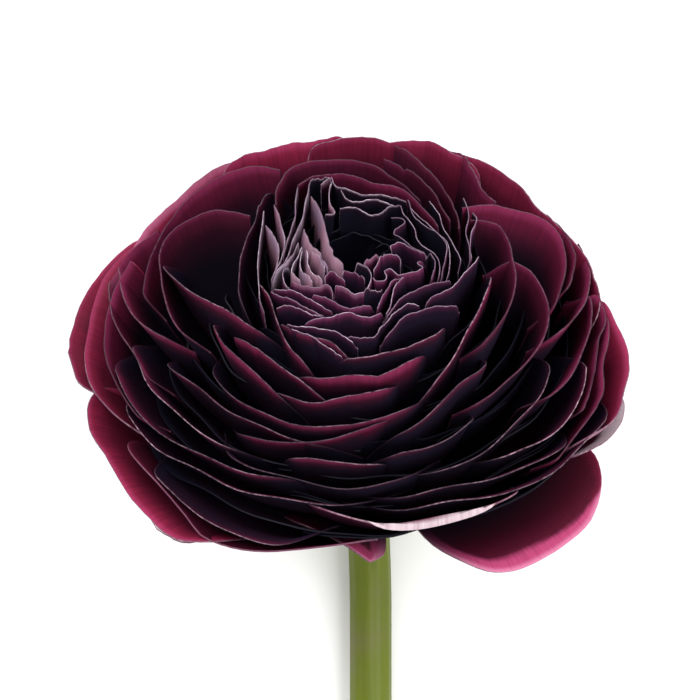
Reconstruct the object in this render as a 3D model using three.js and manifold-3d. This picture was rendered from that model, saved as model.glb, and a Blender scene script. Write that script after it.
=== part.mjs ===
// A cut ranunculus that lies on its side: a curved stem with its receptacle, five sepals, the packed petals of
// a double bloom, the frilled petals of its heart, and the carpels at the bottom of the hollow heart.
//
// Millimetres, +Z up. The origin is the middle of the flat spot where the lowest petals are pressed on the
// surface. The bloom faces +Y and up, and the stem lies along -Y. A place in the bloom is given by its turn
// round the bloom's axis (degrees, 0 on the upper side, + towards +X), how far out from the axis and how far up
// along it, from the bloom's middle.

import * as THREE from 'three';
import { mergeVertices } from 'three/addons/utils/BufferGeometryUtils.js';
import Module from 'manifold-3d';

const manifold = await Module();
manifold.setup();

// Driving dimensions
const BLOOM_TILT = 45;              // how steeply the bloom's axis points up, degrees
const BLOOM_MIDDLE = [0, -25, 34];
const PETAL_THICKNESS = 0.75;
const STEM_RADIUS = 3.45;
const STEM_REST = 3.2;              // height of the stem's middle where it lies, a little flattened underneath
const STEM_END = -175;              // where it is cut, along Y
const SEPAL_THICKNESS = 0.8;

// The dome that the petal rims make, as the height of a rim at each level. A petal's level is how far out from
// the axis its rim stands, and its layer is the surface from its root to that rim. Layers lie inside each other
// like cups, so petals of different levels never meet.
const LEVELS = [7, 47];
const RIM_HEIGHT = [
  [5, 22], [10, 22.2], [15, 21.4], [20, 19.9], [30, 12.6], [38.5, 4.3], [43, -1.2], [47, -6.2], [53, -12],
];
const RIM_LEAN = [[7, -14], [14, -4], [20, 6], [30, 20], [38, 33], [43, 50], [47, 76], [53, 90]];
const ROOT_LEAN = [[7, 18], [20, 52], [34, 74], [47, 88], [53, 90]];
const ROOT_OUT = [2.6, 6.8];        // how far out the roots are at the first and last level
const ROOT_UP = [-11, -21];         // and how far up
const ROOT_UP_POWER = 0.9;
// Lengths of a layer's curve handles: at the root a share of the level, at the rim shares of the rise and level.
const ROOT_HANDLE = 0.62;
const RIM_HANDLE = [0.36, 0.1];
// The heart stands a little to the left of the axis: how far, up to what distance out, and from what height up.
const HEART_ASIDE = -2;
const HEART_ASIDE_OUT = [8, 18];
const HEART_ASIDE_UP = [0, 18];
// The surface presses the lowest petals flat: how high they stay, and over how much height they bend.
const PRESSED_FLOOR = 0.1;
const PRESSED_SOFTNESS = 1.2;
// The surface also pushes up the rims of the back: how far, over which levels it sets in, and over which it ends.
const BACK_LIFT = 4.2;
const LIFTED_LEVELS = [19, 34];
const FREE_LEVELS = [42, 45.5];

// Petals packed in rings round the heart: the first ring's level, how far each ring stands outside the last, and
// how many petals it has. Each petal winds outwards from its left end to its right end.
const PACKED_RINGS = 7;
const PACKED_LEVEL = 20.4;
const PACKED_STEP_OUT = 3.05;
const PACKED_COUNT = 5;
const PACKED_HALF_WIDTH = 42;
const PACKED_WIND = 1;
const PACKED_START = 0.62;          // how far up their layers the packed petals leave the core
const PACKED_WAVE = 0.35;
// Petals of the side that faces the surface, in whorls: the level of the first one, and its turn.
const BACK_WHORLS = [[32.6, 132], [35.0, 139], [37.4, 130]];
const BACK_COUNT = 3;
const BACK_STEP = 44;
const BACK_STEP_OUT = 0.8;          // each petal of a whorl stands this much further out than the last
const BACK_HALF_WIDTH = 33;
// Outermost petals, spread wide: turn, half width, the three levels, and how far the rim hangs down.
const GUARD_PETALS = [
  [-101, 36, 49, 48, 45, 0], [-97, 38, 46, 44.5, 42, 0], [-54, 30, 45, 45.5, 45, 0], [-31, 33, 43, 45.5, 42.5, 0],
  [75, 27, 40.5, 42, 38, 0], [106, 24, 37, 36, 32, 0], [-152, 36, 43.5, 42.5, 41.5, 1.5], [162, 36, 42.5, 41.5, 41, 3],
  [122, 30, 40.5, 40, 39.5, 4], [134, 32, 42.5, 42, 42, 4], [15, 25, 40, 41, 40.5, 0], [180, 34, 47, 47, 47, 0],
  [-142, 36, 46.5, 46, 45.5, 0], [-14, 20, 40.5, 40, 42, 8], [50, 33, 44.5, 46, 45.5, 10],
];
const GUARD_START = 0.26;
const GUARD_FULLNESS = 6;           // how square the ends of the rim are
const GUARD_WAVE = 0.25;
// The core that joins them: the levels of its inner wall, its shoulder and its foot, and how far up it goes.
const CORE_LEVELS = [18.8, 41.5, 47.4];
const CORE_TOP = 0.7;
// Whorls of small frilled petals round the hollow heart: level, number of petals, first turn.
const HEART_WHORLS = [[9.6, 5, 10], [12.0, 5, 40], [14.4, 5, 5], [16.4, 5, 55]];
const HEART_HALF_WIDTH = 46;
const HEART_START = 0.66;
const HEART_WAVE = 0.5;
const HEART_UNEVEN = 1.2;           // how far the rims stand above or below the dome
const HEART_CORE_LEVELS = [9.6, 17.2];
const HEART_CORE_TOP = 0.76;
// Carpels at the bottom of the hollow: the cone that they stand on, their number and the size of one.
const CARPEL_CONE = [[0, -9.2], [3.3, -8.6], [4.1, -4.5], [3.5, -2.2], [2.0, -0.4], [0, 0.2]];
const CARPEL_COUNT = 22;
const CARPEL_RADIUS = 0.85;
const CARPEL_HEIGHT = 2.0;
const GOLDEN_TURN = 137.5;
// Sepals under the bloom, spread along the outermost petals, on a ring.
const SEPAL_COUNT = 5;
const SEPAL_FIRST_TURN = 45;
const SEPAL_HALF_WIDTH = 27;
const SEPAL_LEVEL = 52;
const SEPAL_START = 0.03;
const SEPAL_REACH = 0.25;           // share of that layer's length
const SEPAL_FULLNESS = 1.7;
const SEPAL_RING = [[8.4, -22.9], [8.4, -21.8], [11.8, -21.8], [11.8, -22.9]];
// The receptacle's outline, and the stem's middle line from the bloom down to where it lies.
const RECEPTACLE = [
  [0, -29], [3.4, -29], [3.9, -26.6], [6.4, -24.2], [7.9, -22.8], [8, -21.3], [4.4, -15], [3, -11], [2, -9.8],
  [0, -9.6],
];
const STEM_TOP = [-25, -29, -33];   // up along the bloom's axis
const STEM_ROUTE = [
  [0.3, -53.6, 7.6], [0.7, -60.4, 4.5], [0.9, -69.4, STEM_REST + 0.2], [0.9, -82, STEM_REST],
  [1.2, -106, STEM_REST], [2.6, -141, STEM_REST], [5.0, STEM_END, STEM_REST],
];
const SIDES = 20;                   // of what is turned round the bloom's axis

/** Smooth monotone curve through [x, y] stations. */
function along(stations, x) {
  const last = stations.length - 1;
  const slope = stations.slice(1).map(([sx, sy], i) => (sy - stations[i][1]) / (sx - stations[i][0]));
  const tangent = stations.map((_, i) => {
    if (i === 0) return slope[0];
    if (i === last) return slope[last - 1];
    const [before, after] = [slope[i - 1], slope[i]];
    return before * after <= 0 ? 0 : (2 * before * after) / (before + after);
  });
  const at = THREE.MathUtils.clamp(x, stations[0][0], stations[last][0]);
  const i = Math.min(last - 1, stations.findLastIndex(([sx]) => sx <= at));
  const step = stations[i + 1][0] - stations[i][0];
  const t = (at - stations[i][0]) / step;
  return (1 + 2 * t) * (1 - t) ** 2 * stations[i][1] + t * t * (3 - 2 * t) * stations[i + 1][1]
    + step * t * (1 - t) * ((1 - t) * tangent[i] - t * tangent[i + 1]);
}

/** A repeatable draw from 0 to 1. */
const draw = (seed) => THREE.MathUtils.euclideanModulo(Math.sin(seed * 12.9898 + 4.1414) * 43758.5453, 1);

const tilt = THREE.MathUtils.degToRad(BLOOM_TILT);
const bloomFrame = new THREE.Matrix4().makeBasis(
  new THREE.Vector3(1, 0, 0),
  new THREE.Vector3(0, Math.cos(tilt), Math.sin(tilt)),
  new THREE.Vector3(0, -Math.sin(tilt), Math.cos(tilt)),
).setPosition(...BLOOM_MIDDLE);

/** How far the heart stands aside at a distance out from the axis and a height up along it. */
function heartAside(out, up) {
  const near = 1 - THREE.MathUtils.smoothstep(out, ...HEART_ASIDE_OUT);
  return HEART_ASIDE * near * THREE.MathUtils.smoothstep(up, ...HEART_ASIDE_UP);
}

/** The point at a turn, a distance out from the bloom's axis and a height up along it. */
function bloomPoint(turn, out, up) {
  const angle = THREE.MathUtils.degToRad(turn);
  const aside = Math.sin(angle) * out + heartAside(out, up);
  return new THREE.Vector3(aside, up, Math.cos(angle) * out).applyMatrix4(bloomFrame);
}

/** Where a layer is at a climb of 0 (its root) to 1 (its rim): [out, up], along one cubic curve. */
function onLayer(level, climb) {
  const share = Math.max(0, (level - LEVELS[0]) / (LEVELS[1] - LEVELS[0]));
  const root = new THREE.Vector2(
    THREE.MathUtils.lerp(...ROOT_OUT, share),
    THREE.MathUtils.lerp(...ROOT_UP, share ** ROOT_UP_POWER),
  );
  const rim = new THREE.Vector2(level, along(RIM_HEIGHT, level));
  const rootLean = THREE.MathUtils.degToRad(along(ROOT_LEAN, level));
  const rimLean = THREE.MathUtils.degToRad(along(RIM_LEAN, level));
  const rise = rim.y - root.y;
  const rootHandle = ROOT_HANDLE * level;
  const rimHandle = RIM_HANDLE[0] * rise + RIM_HANDLE[1] * level;
  const fromRoot = new THREE.Vector2(Math.sin(rootLean), Math.cos(rootLean)).multiplyScalar(rootHandle).add(root);
  const toRim = new THREE.Vector2(Math.sin(rimLean), Math.cos(rimLean)).multiplyScalar(-rimHandle).add(rim);
  return new THREE.CubicBezierCurve(root, fromRoot, toRim, rim).getPoint(climb).toArray();
}

/** The surface presses up what would lie below it, so the lowest petals go flat. */
function pressed(point) {
  const depth = point.z - PRESSED_FLOOR;
  return point.setZ(PRESSED_FLOOR + (depth + Math.hypot(depth, PRESSED_SOFTNESS)) / 2);
}

/** How much a turn belongs to the side that faces the surface, 0 to 1. */
const backShare = (turn) => THREE.MathUtils.smoothstep(-Math.cos(THREE.MathUtils.degToRad(turn)), 0, 0.9);

/** The middle surface of a petal: across runs from -1 to 1, climb from its start to its rim. */
function petalPoint(petal, across, climbShare) {
  const { turn, halfWidth, levels, start, reach = 1, fullness = 4, hang = 0, wave = 0, seed = 0 } = petal;
  const [left, middle, right] = levels;
  const side = 0.8;
  const slant = (right - left) / (2 * side);
  const bow = (left + right - 2 * middle) / (2 * side * side);
  const rimClimb = reach - (reach - start - 0.04) * Math.abs(across) ** fullness;
  const climb = start + (rimClimb - start) * climbShare;
  const risen = (climb - start) / (reach - start);
  const ripple = wave * risen ** 2 * Math.sin(across * (2.6 + draw(seed)) * Math.PI + 6.28 * draw(seed + 7));
  const level = middle + slant * across + bow * across * across + ripple;
  const [out, up] = onLayer(level, climb);
  const here = turn + halfWidth * across;
  const sag = hang * risen ** 2.2;
  const lifted = THREE.MathUtils.smoothstep(level, ...LIFTED_LEVELS);
  const free = THREE.MathUtils.smoothstep(level, ...FREE_LEVELS);
  const lift = BACK_LIFT * (lifted - free) * backShare(here) * climb ** 2;
  return pressed(bloomPoint(here, out - 0.35 * sag, up - sag + lift));
}

/** A petal as a closed blade, both faces split into triangles alike. */
function blade(petal, columns, rows, thickness = PETAL_THICKNESS) {
  const across = (i) => (2 * i) / columns - 1;
  const nudge = 1e-3;
  const points = { outer: [], inner: [] };
  for (let j = 0; j <= rows; j += 1) {
    for (let i = 0; i <= columns; i += 1) {
      const [u, v] = [across(i), j / rows];
      const [u0, v0] = [Math.min(u, 1 - nudge), Math.min(v, 1 - nudge)];
      const middle = petalPoint(petal, u, v);
      const here = petalPoint(petal, u0, v0);
      const alongU = petalPoint(petal, u0 + nudge, v0).sub(here);
      const alongV = petalPoint(petal, u0, v0 + nudge).sub(here);
      const outward = alongU.cross(alongV).normalize().multiplyScalar(thickness / 2);
      points.outer.push(middle.clone().add(outward));
      points.inner.push(middle.clone().sub(outward));
    }
  }
  const grid = (list) => (i, j) => list[j * (columns + 1) + i];
  const [outer, inner] = [grid(points.outer), grid(points.inner)];
  const corners = [];
  const quad = (a, b, c, d) => corners.push(a, b, c, a, c, d);
  for (let j = 0; j < rows; j += 1) {
    for (let i = 0; i < columns; i += 1) {
      quad(outer(i, j), outer(i + 1, j), outer(i + 1, j + 1), outer(i, j + 1));
      corners.push(inner(i, j), inner(i + 1, j + 1), inner(i + 1, j));
      corners.push(inner(i, j), inner(i, j + 1), inner(i + 1, j + 1));
    }
    quad(inner(0, j), outer(0, j), outer(0, j + 1), inner(0, j + 1));
    quad(outer(columns, j), inner(columns, j), inner(columns, j + 1), outer(columns, j + 1));
  }
  for (let i = 0; i < columns; i += 1) {
    quad(inner(i, 0), inner(i + 1, 0), outer(i + 1, 0), outer(i, 0));
    quad(outer(i, rows), outer(i + 1, rows), inner(i + 1, rows), inner(i, rows));
  }
  return new THREE.BufferGeometry().setFromPoints(corners);
}

/** A closed ring or cup round the bloom's axis from its [out, up] outline, which starts up the inner side. */
function turned(outline) {
  const profile = outline.map(([out, up]) => new THREE.Vector2(out, up)).reverse();
  profile.push(profile[0].clone());
  const ring = new THREE.LatheGeometry(profile, SIDES);
  const place = ring.attributes.position;
  for (let i = 0; i < place.count; i += 1) {
    const [x, up, z] = [place.getX(i), place.getY(i), place.getZ(i)];
    place.setX(i, x + heartAside(Math.hypot(x, z), up));
  }
  return ring.applyMatrix4(bloomFrame);
}

/** A closed geometry as a solid that can be joined and cut. */
function solid(geometry) {
  const bare = geometry.clone();
  bare.deleteAttribute('normal');
  bare.deleteAttribute('uv');
  const merged = mergeVertices(bare, 1e-3);
  const mesh = new manifold.Mesh({
    numProp: 3,
    vertProperties: new Float32Array(merged.attributes.position.array),
    triVerts: new Uint32Array(merged.index.array),
  });
  return new manifold.Manifold(mesh);
}

/** A solid without its sealed hollows and loose scraps. */
function skin(whole) {
  return whole.decompose().reduce((largest, shell) => (shell.volume() > largest.volume() ? shell : largest));
}

/** A solid as a geometry again. */
function surface(whole) {
  const { vertProperties, triVerts } = whole.getMesh();
  const geometry = new THREE.BufferGeometry();
  geometry.setAttribute('position', new THREE.BufferAttribute(vertProperties, 3));
  return geometry.setIndex(new THREE.BufferAttribute(triVerts, 1));
}

/** All the geometries grown together and cut flat at the surface. */
function grown(geometries) {
  const joined = geometries.map(solid).reduce((whole, piece) => whole.add(piece));
  const ground = new THREE.BoxGeometry(400, 600, 40).translate(0, -100, -20);
  const cut = skin(joined.subtract(solid(ground))).simplify(0.01);
  return surface(skin(solid(surface(cut))));
}

const steps = (from, to, count) => Array.from({ length: count + 1 }, (_, i) => from + ((to - from) * i) / count);

/** The packed petals: upper side, flanks, back and the spread guard petals, on a smaller core. */
function outerPetals() {
  const [inner, shoulder, foot] = CORE_LEVELS;
  const core = [
    ...steps(0.02, CORE_TOP, 4).map((climb) => onLayer(inner, climb)),
    ...steps(inner, shoulder, 4).slice(1).map((level) => onLayer(level, CORE_TOP)),
    ...steps(0.6, 0.45, 1).map((climb) => onLayer(shoulder, climb)),
    ...steps(0.32, 0.02, 2).map((climb) => onLayer(foot, climb)),
    onLayer(inner, 0.02),
  ];
  const pieces = [turned(core)];
  for (let i = 0; i < PACKED_RINGS * PACKED_COUNT; i += 1) {
    const ring = Math.floor(i / PACKED_COUNT);
    const turn = GOLDEN_TURN * ring + (360 / PACKED_COUNT) * i;
    const level = PACKED_LEVEL + PACKED_STEP_OUT * ring;
    const levels = [level - PACKED_WIND, level, level + PACKED_WIND];
    const shape = { halfWidth: PACKED_HALF_WIDTH, start: PACKED_START, wave: PACKED_WAVE, seed: i };
    pieces.push(blade({ turn, levels, ...shape }, 6, 1));
  }
  BACK_WHORLS.forEach(([first, firstTurn], w) => {
    for (let i = 0; i < BACK_COUNT; i += 1) {
      const seed = w * 5 + i;
      const turn = firstTurn + BACK_STEP * i + 6 * draw(seed);
      const level = first + BACK_STEP_OUT * i;
      const levels = [level + 0.6, level, level - 0.6];
      const shape = { halfWidth: BACK_HALF_WIDTH, start: PACKED_START, wave: PACKED_WAVE, seed: 50 + seed };
      pieces.push(blade({ turn, levels, ...shape }, 6, 1));
    }
  });
  GUARD_PETALS.forEach(([turn, halfWidth, left, middle, right, hang], i) => {
    const levels = [left, middle, right];
    const shape = { start: GUARD_START, fullness: GUARD_FULLNESS, wave: GUARD_WAVE, seed: 90 + i };
    pieces.push(blade({ turn, halfWidth, levels, hang, ...shape }, 7, 3));
  });
  return grown(pieces);
}

/** The frilled petals round the hollow, on a ring of their own. */
function heartPetals() {
  const [inner, outer] = HEART_CORE_LEVELS;
  const core = [
    ...steps(0.1, HEART_CORE_TOP, 4).map((climb) => onLayer(inner, climb)),
    ...steps(inner, outer, 3).slice(1).map((level) => onLayer(level, HEART_CORE_TOP)),
    ...steps(0.55, 0.1, 3).map((climb) => onLayer(outer, climb)),
    onLayer(inner, 0.1),
  ];
  const pieces = [turned(core)];
  HEART_WHORLS.forEach(([level, count, first], w) => {
    for (let i = 0; i < count; i += 1) {
      const seed = w * 7 + i;
      const turn = first + (360 / count) * i + 8 * draw(200 + seed);
      const levels = [level - 0.6, level, level + 0.6];
      const hang = HEART_UNEVEN * (1 - 2 * draw(400 + seed));
      const shape = { halfWidth: HEART_HALF_WIDTH, start: HEART_START, wave: HEART_WAVE, seed: 300 + seed };
      pieces.push(blade({ turn, levels, hang, ...shape }, 7, 1));
    }
  });
  return grown(pieces);
}

/** The carpels: a low cone of small beaked fruits at the bottom of the hollow. */
function carpels() {
  const pieces = [turned(CARPEL_CONE.slice().reverse())];
  for (let i = 0; i < CARPEL_COUNT; i += 1) {
    const turn = GOLDEN_TURN * i;
    const lean = Math.sqrt((i + 0.5) / CARPEL_COUNT);
    const [out, up] = [3.5 * lean, 0.1 - 3.2 * lean ** 2.4];
    const foot = bloomPoint(turn, out, up);
    const axis = bloomPoint(turn, out + lean, up + 1.1 - 0.6 * lean).sub(foot).normalize();
    const turnUp = new THREE.Quaternion().setFromUnitVectors(new THREE.Vector3(0, 1, 0), axis);
    const beak = new THREE.ConeGeometry(CARPEL_RADIUS, CARPEL_HEIGHT, 5);
    pieces.push(beak.applyQuaternion(turnUp).translate(...foot));
  }
  return grown(pieces);
}

/** Pointed sepals joined to a ring round the receptacle. */
function sepals() {
  const pieces = [turned(SEPAL_RING)];
  for (let i = 0; i < SEPAL_COUNT; i += 1) {
    const sepal = {
      turn: SEPAL_FIRST_TURN + (360 / SEPAL_COUNT) * i,
      halfWidth: SEPAL_HALF_WIDTH,
      levels: [SEPAL_LEVEL, SEPAL_LEVEL, SEPAL_LEVEL],
      start: SEPAL_START,
      reach: SEPAL_REACH,
      fullness: SEPAL_FULLNESS,
    };
    pieces.push(blade(sepal, 6, 3, SEPAL_THICKNESS));
  }
  return grown(pieces);
}

/** The stem with the swollen receptacle that carries the petals: it leaves the bloom, bends down and lies. */
function stem() {
  const route = new THREE.CatmullRomCurve3([
    ...STEM_TOP.map((up) => bloomPoint(0, 0, up)),
    ...STEM_ROUTE.map((stop) => new THREE.Vector3(...stop)),
  ]);
  const section = new THREE.Shape().absarc(0, 0, STEM_RADIUS, 0, 2 * Math.PI);
  const tube = new THREE.ExtrudeGeometry(section, { steps: 26, curveSegments: 6, extrudePath: route });
  return grown([turned(RECEPTACLE.slice().reverse()), tube]);
}

/** A named sub-part in its own material. */
function part(name, geometry, color, roughness) {
  const mesh = new THREE.Mesh(geometry, new THREE.MeshStandardMaterial({ color, roughness, metalness: 0 }));
  mesh.name = name;
  return mesh;
}

const ranunculus = new THREE.Group();
ranunculus.add(
  part('stem', stem(), 0x7d8a35, 0.6),
  part('sepals', sepals(), 0x76853c, 0.65),
  part('outer_petals', outerPetals(), 0x5a1430, 0.7),
  part('heart_petals', heartPetals(), 0x6d3045, 0.7),
  part('carpels', carpels(), 0x1d1420, 0.75),
);
export default ranunculus;
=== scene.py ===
"""A cut ranunculus flower that lies on its side, seen straight from above.

The bloom's petals are patches of layers that lie inside each other like cups, from a root on the receptacle
to a rim on the bloom's dome. A place in the bloom is its turn round the bloom's axis (degrees, 0 on the upper
side, positive towards +X), its distance out from that axis and its height up along it. Tables are in
millimetres and degrees, and every mesh is scaled to metres when it is finished.
"""

import logging
import math
from dataclasses import dataclass, replace
from enum import Enum
from typing import Sequence

import bmesh
import bpy
import numpy as np
from mathutils import Matrix, Vector


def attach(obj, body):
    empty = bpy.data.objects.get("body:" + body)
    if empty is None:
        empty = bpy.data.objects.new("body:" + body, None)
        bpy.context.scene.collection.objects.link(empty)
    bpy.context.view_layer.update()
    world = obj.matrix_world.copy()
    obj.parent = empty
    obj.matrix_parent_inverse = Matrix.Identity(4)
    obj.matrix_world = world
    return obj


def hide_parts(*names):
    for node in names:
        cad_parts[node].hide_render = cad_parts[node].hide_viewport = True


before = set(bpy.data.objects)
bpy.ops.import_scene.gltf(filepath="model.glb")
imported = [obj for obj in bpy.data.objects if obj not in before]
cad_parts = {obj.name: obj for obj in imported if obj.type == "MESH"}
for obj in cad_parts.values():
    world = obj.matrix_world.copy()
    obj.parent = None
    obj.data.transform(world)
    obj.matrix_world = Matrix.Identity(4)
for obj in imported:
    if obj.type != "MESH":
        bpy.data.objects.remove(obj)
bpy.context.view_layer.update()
LOG = logging.getLogger("ranunculus")

MM = 0.001

# The bloom's middle and the tilt of its axis, as in the solids.
BLOOM_MIDDLE = (0.0, -25.0, 34.0)
BLOOM_TILT = 45.0
# How strongly living plant skin bends light.
PLANT_IOR = 1.42

Station = tuple[float, float]
Levels = tuple[float, float, float]
Row = tuple[float, ...]
Rim = Sequence[Station]
Value = float | bpy.types.Node | bpy.types.NodeSocket

# The ripple that neighbouring layers have in common: each wave's share, how many go round the bloom, radians
# per millimetre of level, and phase.
RIPPLES: Sequence[Row] = ((0.5, 7, 0.5, 1.3), (0.32, 12, -0.4, 4.1), (0.18, 19, 0.4, 2.2))
# The small dips of a petal's rim: radians in half a width, and share.
RIM_DIPS: Sequence[Station] = ((4.0, 0.5), (9.0, 0.3), (21.0, 0.12), (38.0, 0.08))
# Its one notch: its depth against the unevenness, how wide it is and how far from the middle it may stand, in
# half widths, and the share of petals that have none.
NOTCH_DEPTH = 1.6
NOTCH_WIDTH = 0.03
NOTCH_ASIDE = 0.7
NOTCH_FREE = 0.45
# How far from the middle a petal's outer levels hold, in half widths.
LEVEL_ASIDE = 0.8
# How wide a petal's foot is, as a share of its full width.
FOOT_WIDTH = 0.4
# By which share of its height a petal is at its full width.
WIDE_FROM = 0.9
# Over how many millimetres below its rim a petal curls, and radians of the curl's wave in half a width.
CURL_DEPTH = 1.3
CURL_ACROSS = 2.2
# Where the tuck of a petal's ends begins, in half widths from the middle.
TUCK_FROM = 0.85
# A folded margin's steps inwards and down for each millimetre of it, and how fast it narrows to both sides.
FOLD_IN = 0.4
FOLD_DOWN = 1.7
FOLD_TAPER = 3.6
# How a drooping petal sinks: the power of its climb, and its step inwards as a share of its step down.
SAG_POWER = 2.2
SAG_IN = 0.35
# Between which distances from the middle a petal's colour fades, in half widths.
FADE_RANGE: Station = (0.7, 1.15)
# The least pale rim, as a share of the palest.
LEAST_PALE = 0.15
# A flare's share of its width at its middle, before it is cut to 1, where it ends as shares of its width, and
# the width in millimetres from which on it is at its full strength. Its waves: radians in half a width, and
# share.
FLARE_WIDEST = 1.15
FLARE_END: Station = (0.65, 1.1)
FLARE_FULL = 3.0
FLARE_WAVE: Station = (9.0, 0.15)
# About a full turn in radians, for phases that are drawn.
FULL_TURN = 6.28
# The turn from one carpel to the next, in degrees.
GOLDEN_TURN = 137.5
# Where the seeds of each kind of petal begin, so that no two petals are alike.
SIDE_SEED, BACK_SEED, GUARD_SEED, BLANCHED_SEED, FILLING_SEED = 30, 50, 90, 130, 150
HEART_SEED, HEART_FILLING_SEED, SEPAL_SEED = 300, 400, 500


def smoothstep(x: np.ndarray | float, low: float, high: float) -> np.ndarray:
    """A smooth step from 0 at low to 1 at high."""
    t = np.clip((np.asarray(x, float) - low) / (high - low), 0.0, 1.0)
    return t * t * (3.0 - 2.0 * t)


def draw(seed: float) -> float:
    """A repeatable draw from 0 to 1 for a seed."""
    return (math.sin(seed * 12.9898 + 4.1414) * 43758.5453) % 1.0


def linear(code: str) -> tuple[float, float, float, float]:
    """The linear colour of an sRGB hex code such as "#4a1028"."""
    channels = [int(code[i : i + 2], 16) / 255 for i in (1, 3, 5)]
    curve = [c / 12.92 if c <= 0.04045 else ((c + 0.055) / 1.055) ** 2.4 for c in channels]
    return (*curve, 1.0)


class Profile:
    """A smooth curve through stations, which doesn't swing past them unless it is rounded."""

    def __init__(self, stations: Sequence[Station], rounded: bool = False) -> None:
        """Keeps the stations and works out their tangents.

        Args:
            stations: (x, y) pairs in rising order of x.
            rounded: Whether the turning points lie between the stations, as a loop needs.
        """
        self.x = np.array([s[0] for s in stations], float)
        self.y = np.array([s[1] for s in stations], float)
        slope = np.diff(self.y) / np.diff(self.x)
        before, after = slope[:-1], slope[1:]
        same_way = before * after > 0
        total = np.where(same_way, before + after, 1.0)
        inner = np.where(same_way, 2 * before * after / total, 0.0)
        if rounded:
            step = np.diff(self.x)
            inner = (before * step[1:] + after * step[:-1]) / (step[1:] + step[:-1])
        self.tangent = np.concatenate([slope[:1], inner, slope[-1:]])

    def __call__(self, x: np.ndarray | float) -> np.ndarray:
        """The curve's height at x, held level past both ends."""
        at = np.clip(np.asarray(x, float), self.x[0], self.x[-1])
        i = np.clip(np.searchsorted(self.x, at, side="right") - 1, 0, len(self.x) - 2)
        step = self.x[i + 1] - self.x[i]
        t = (at - self.x[i]) / step
        rise = (1 - t) * self.tangent[i] - t * self.tangent[i + 1]
        ends = (1 + 2 * t) * (1 - t) ** 2 * self.y[i] + t * t * (3 - 2 * t) * self.y[i + 1]
        return ends + step * t * (1 - t) * rise


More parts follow.
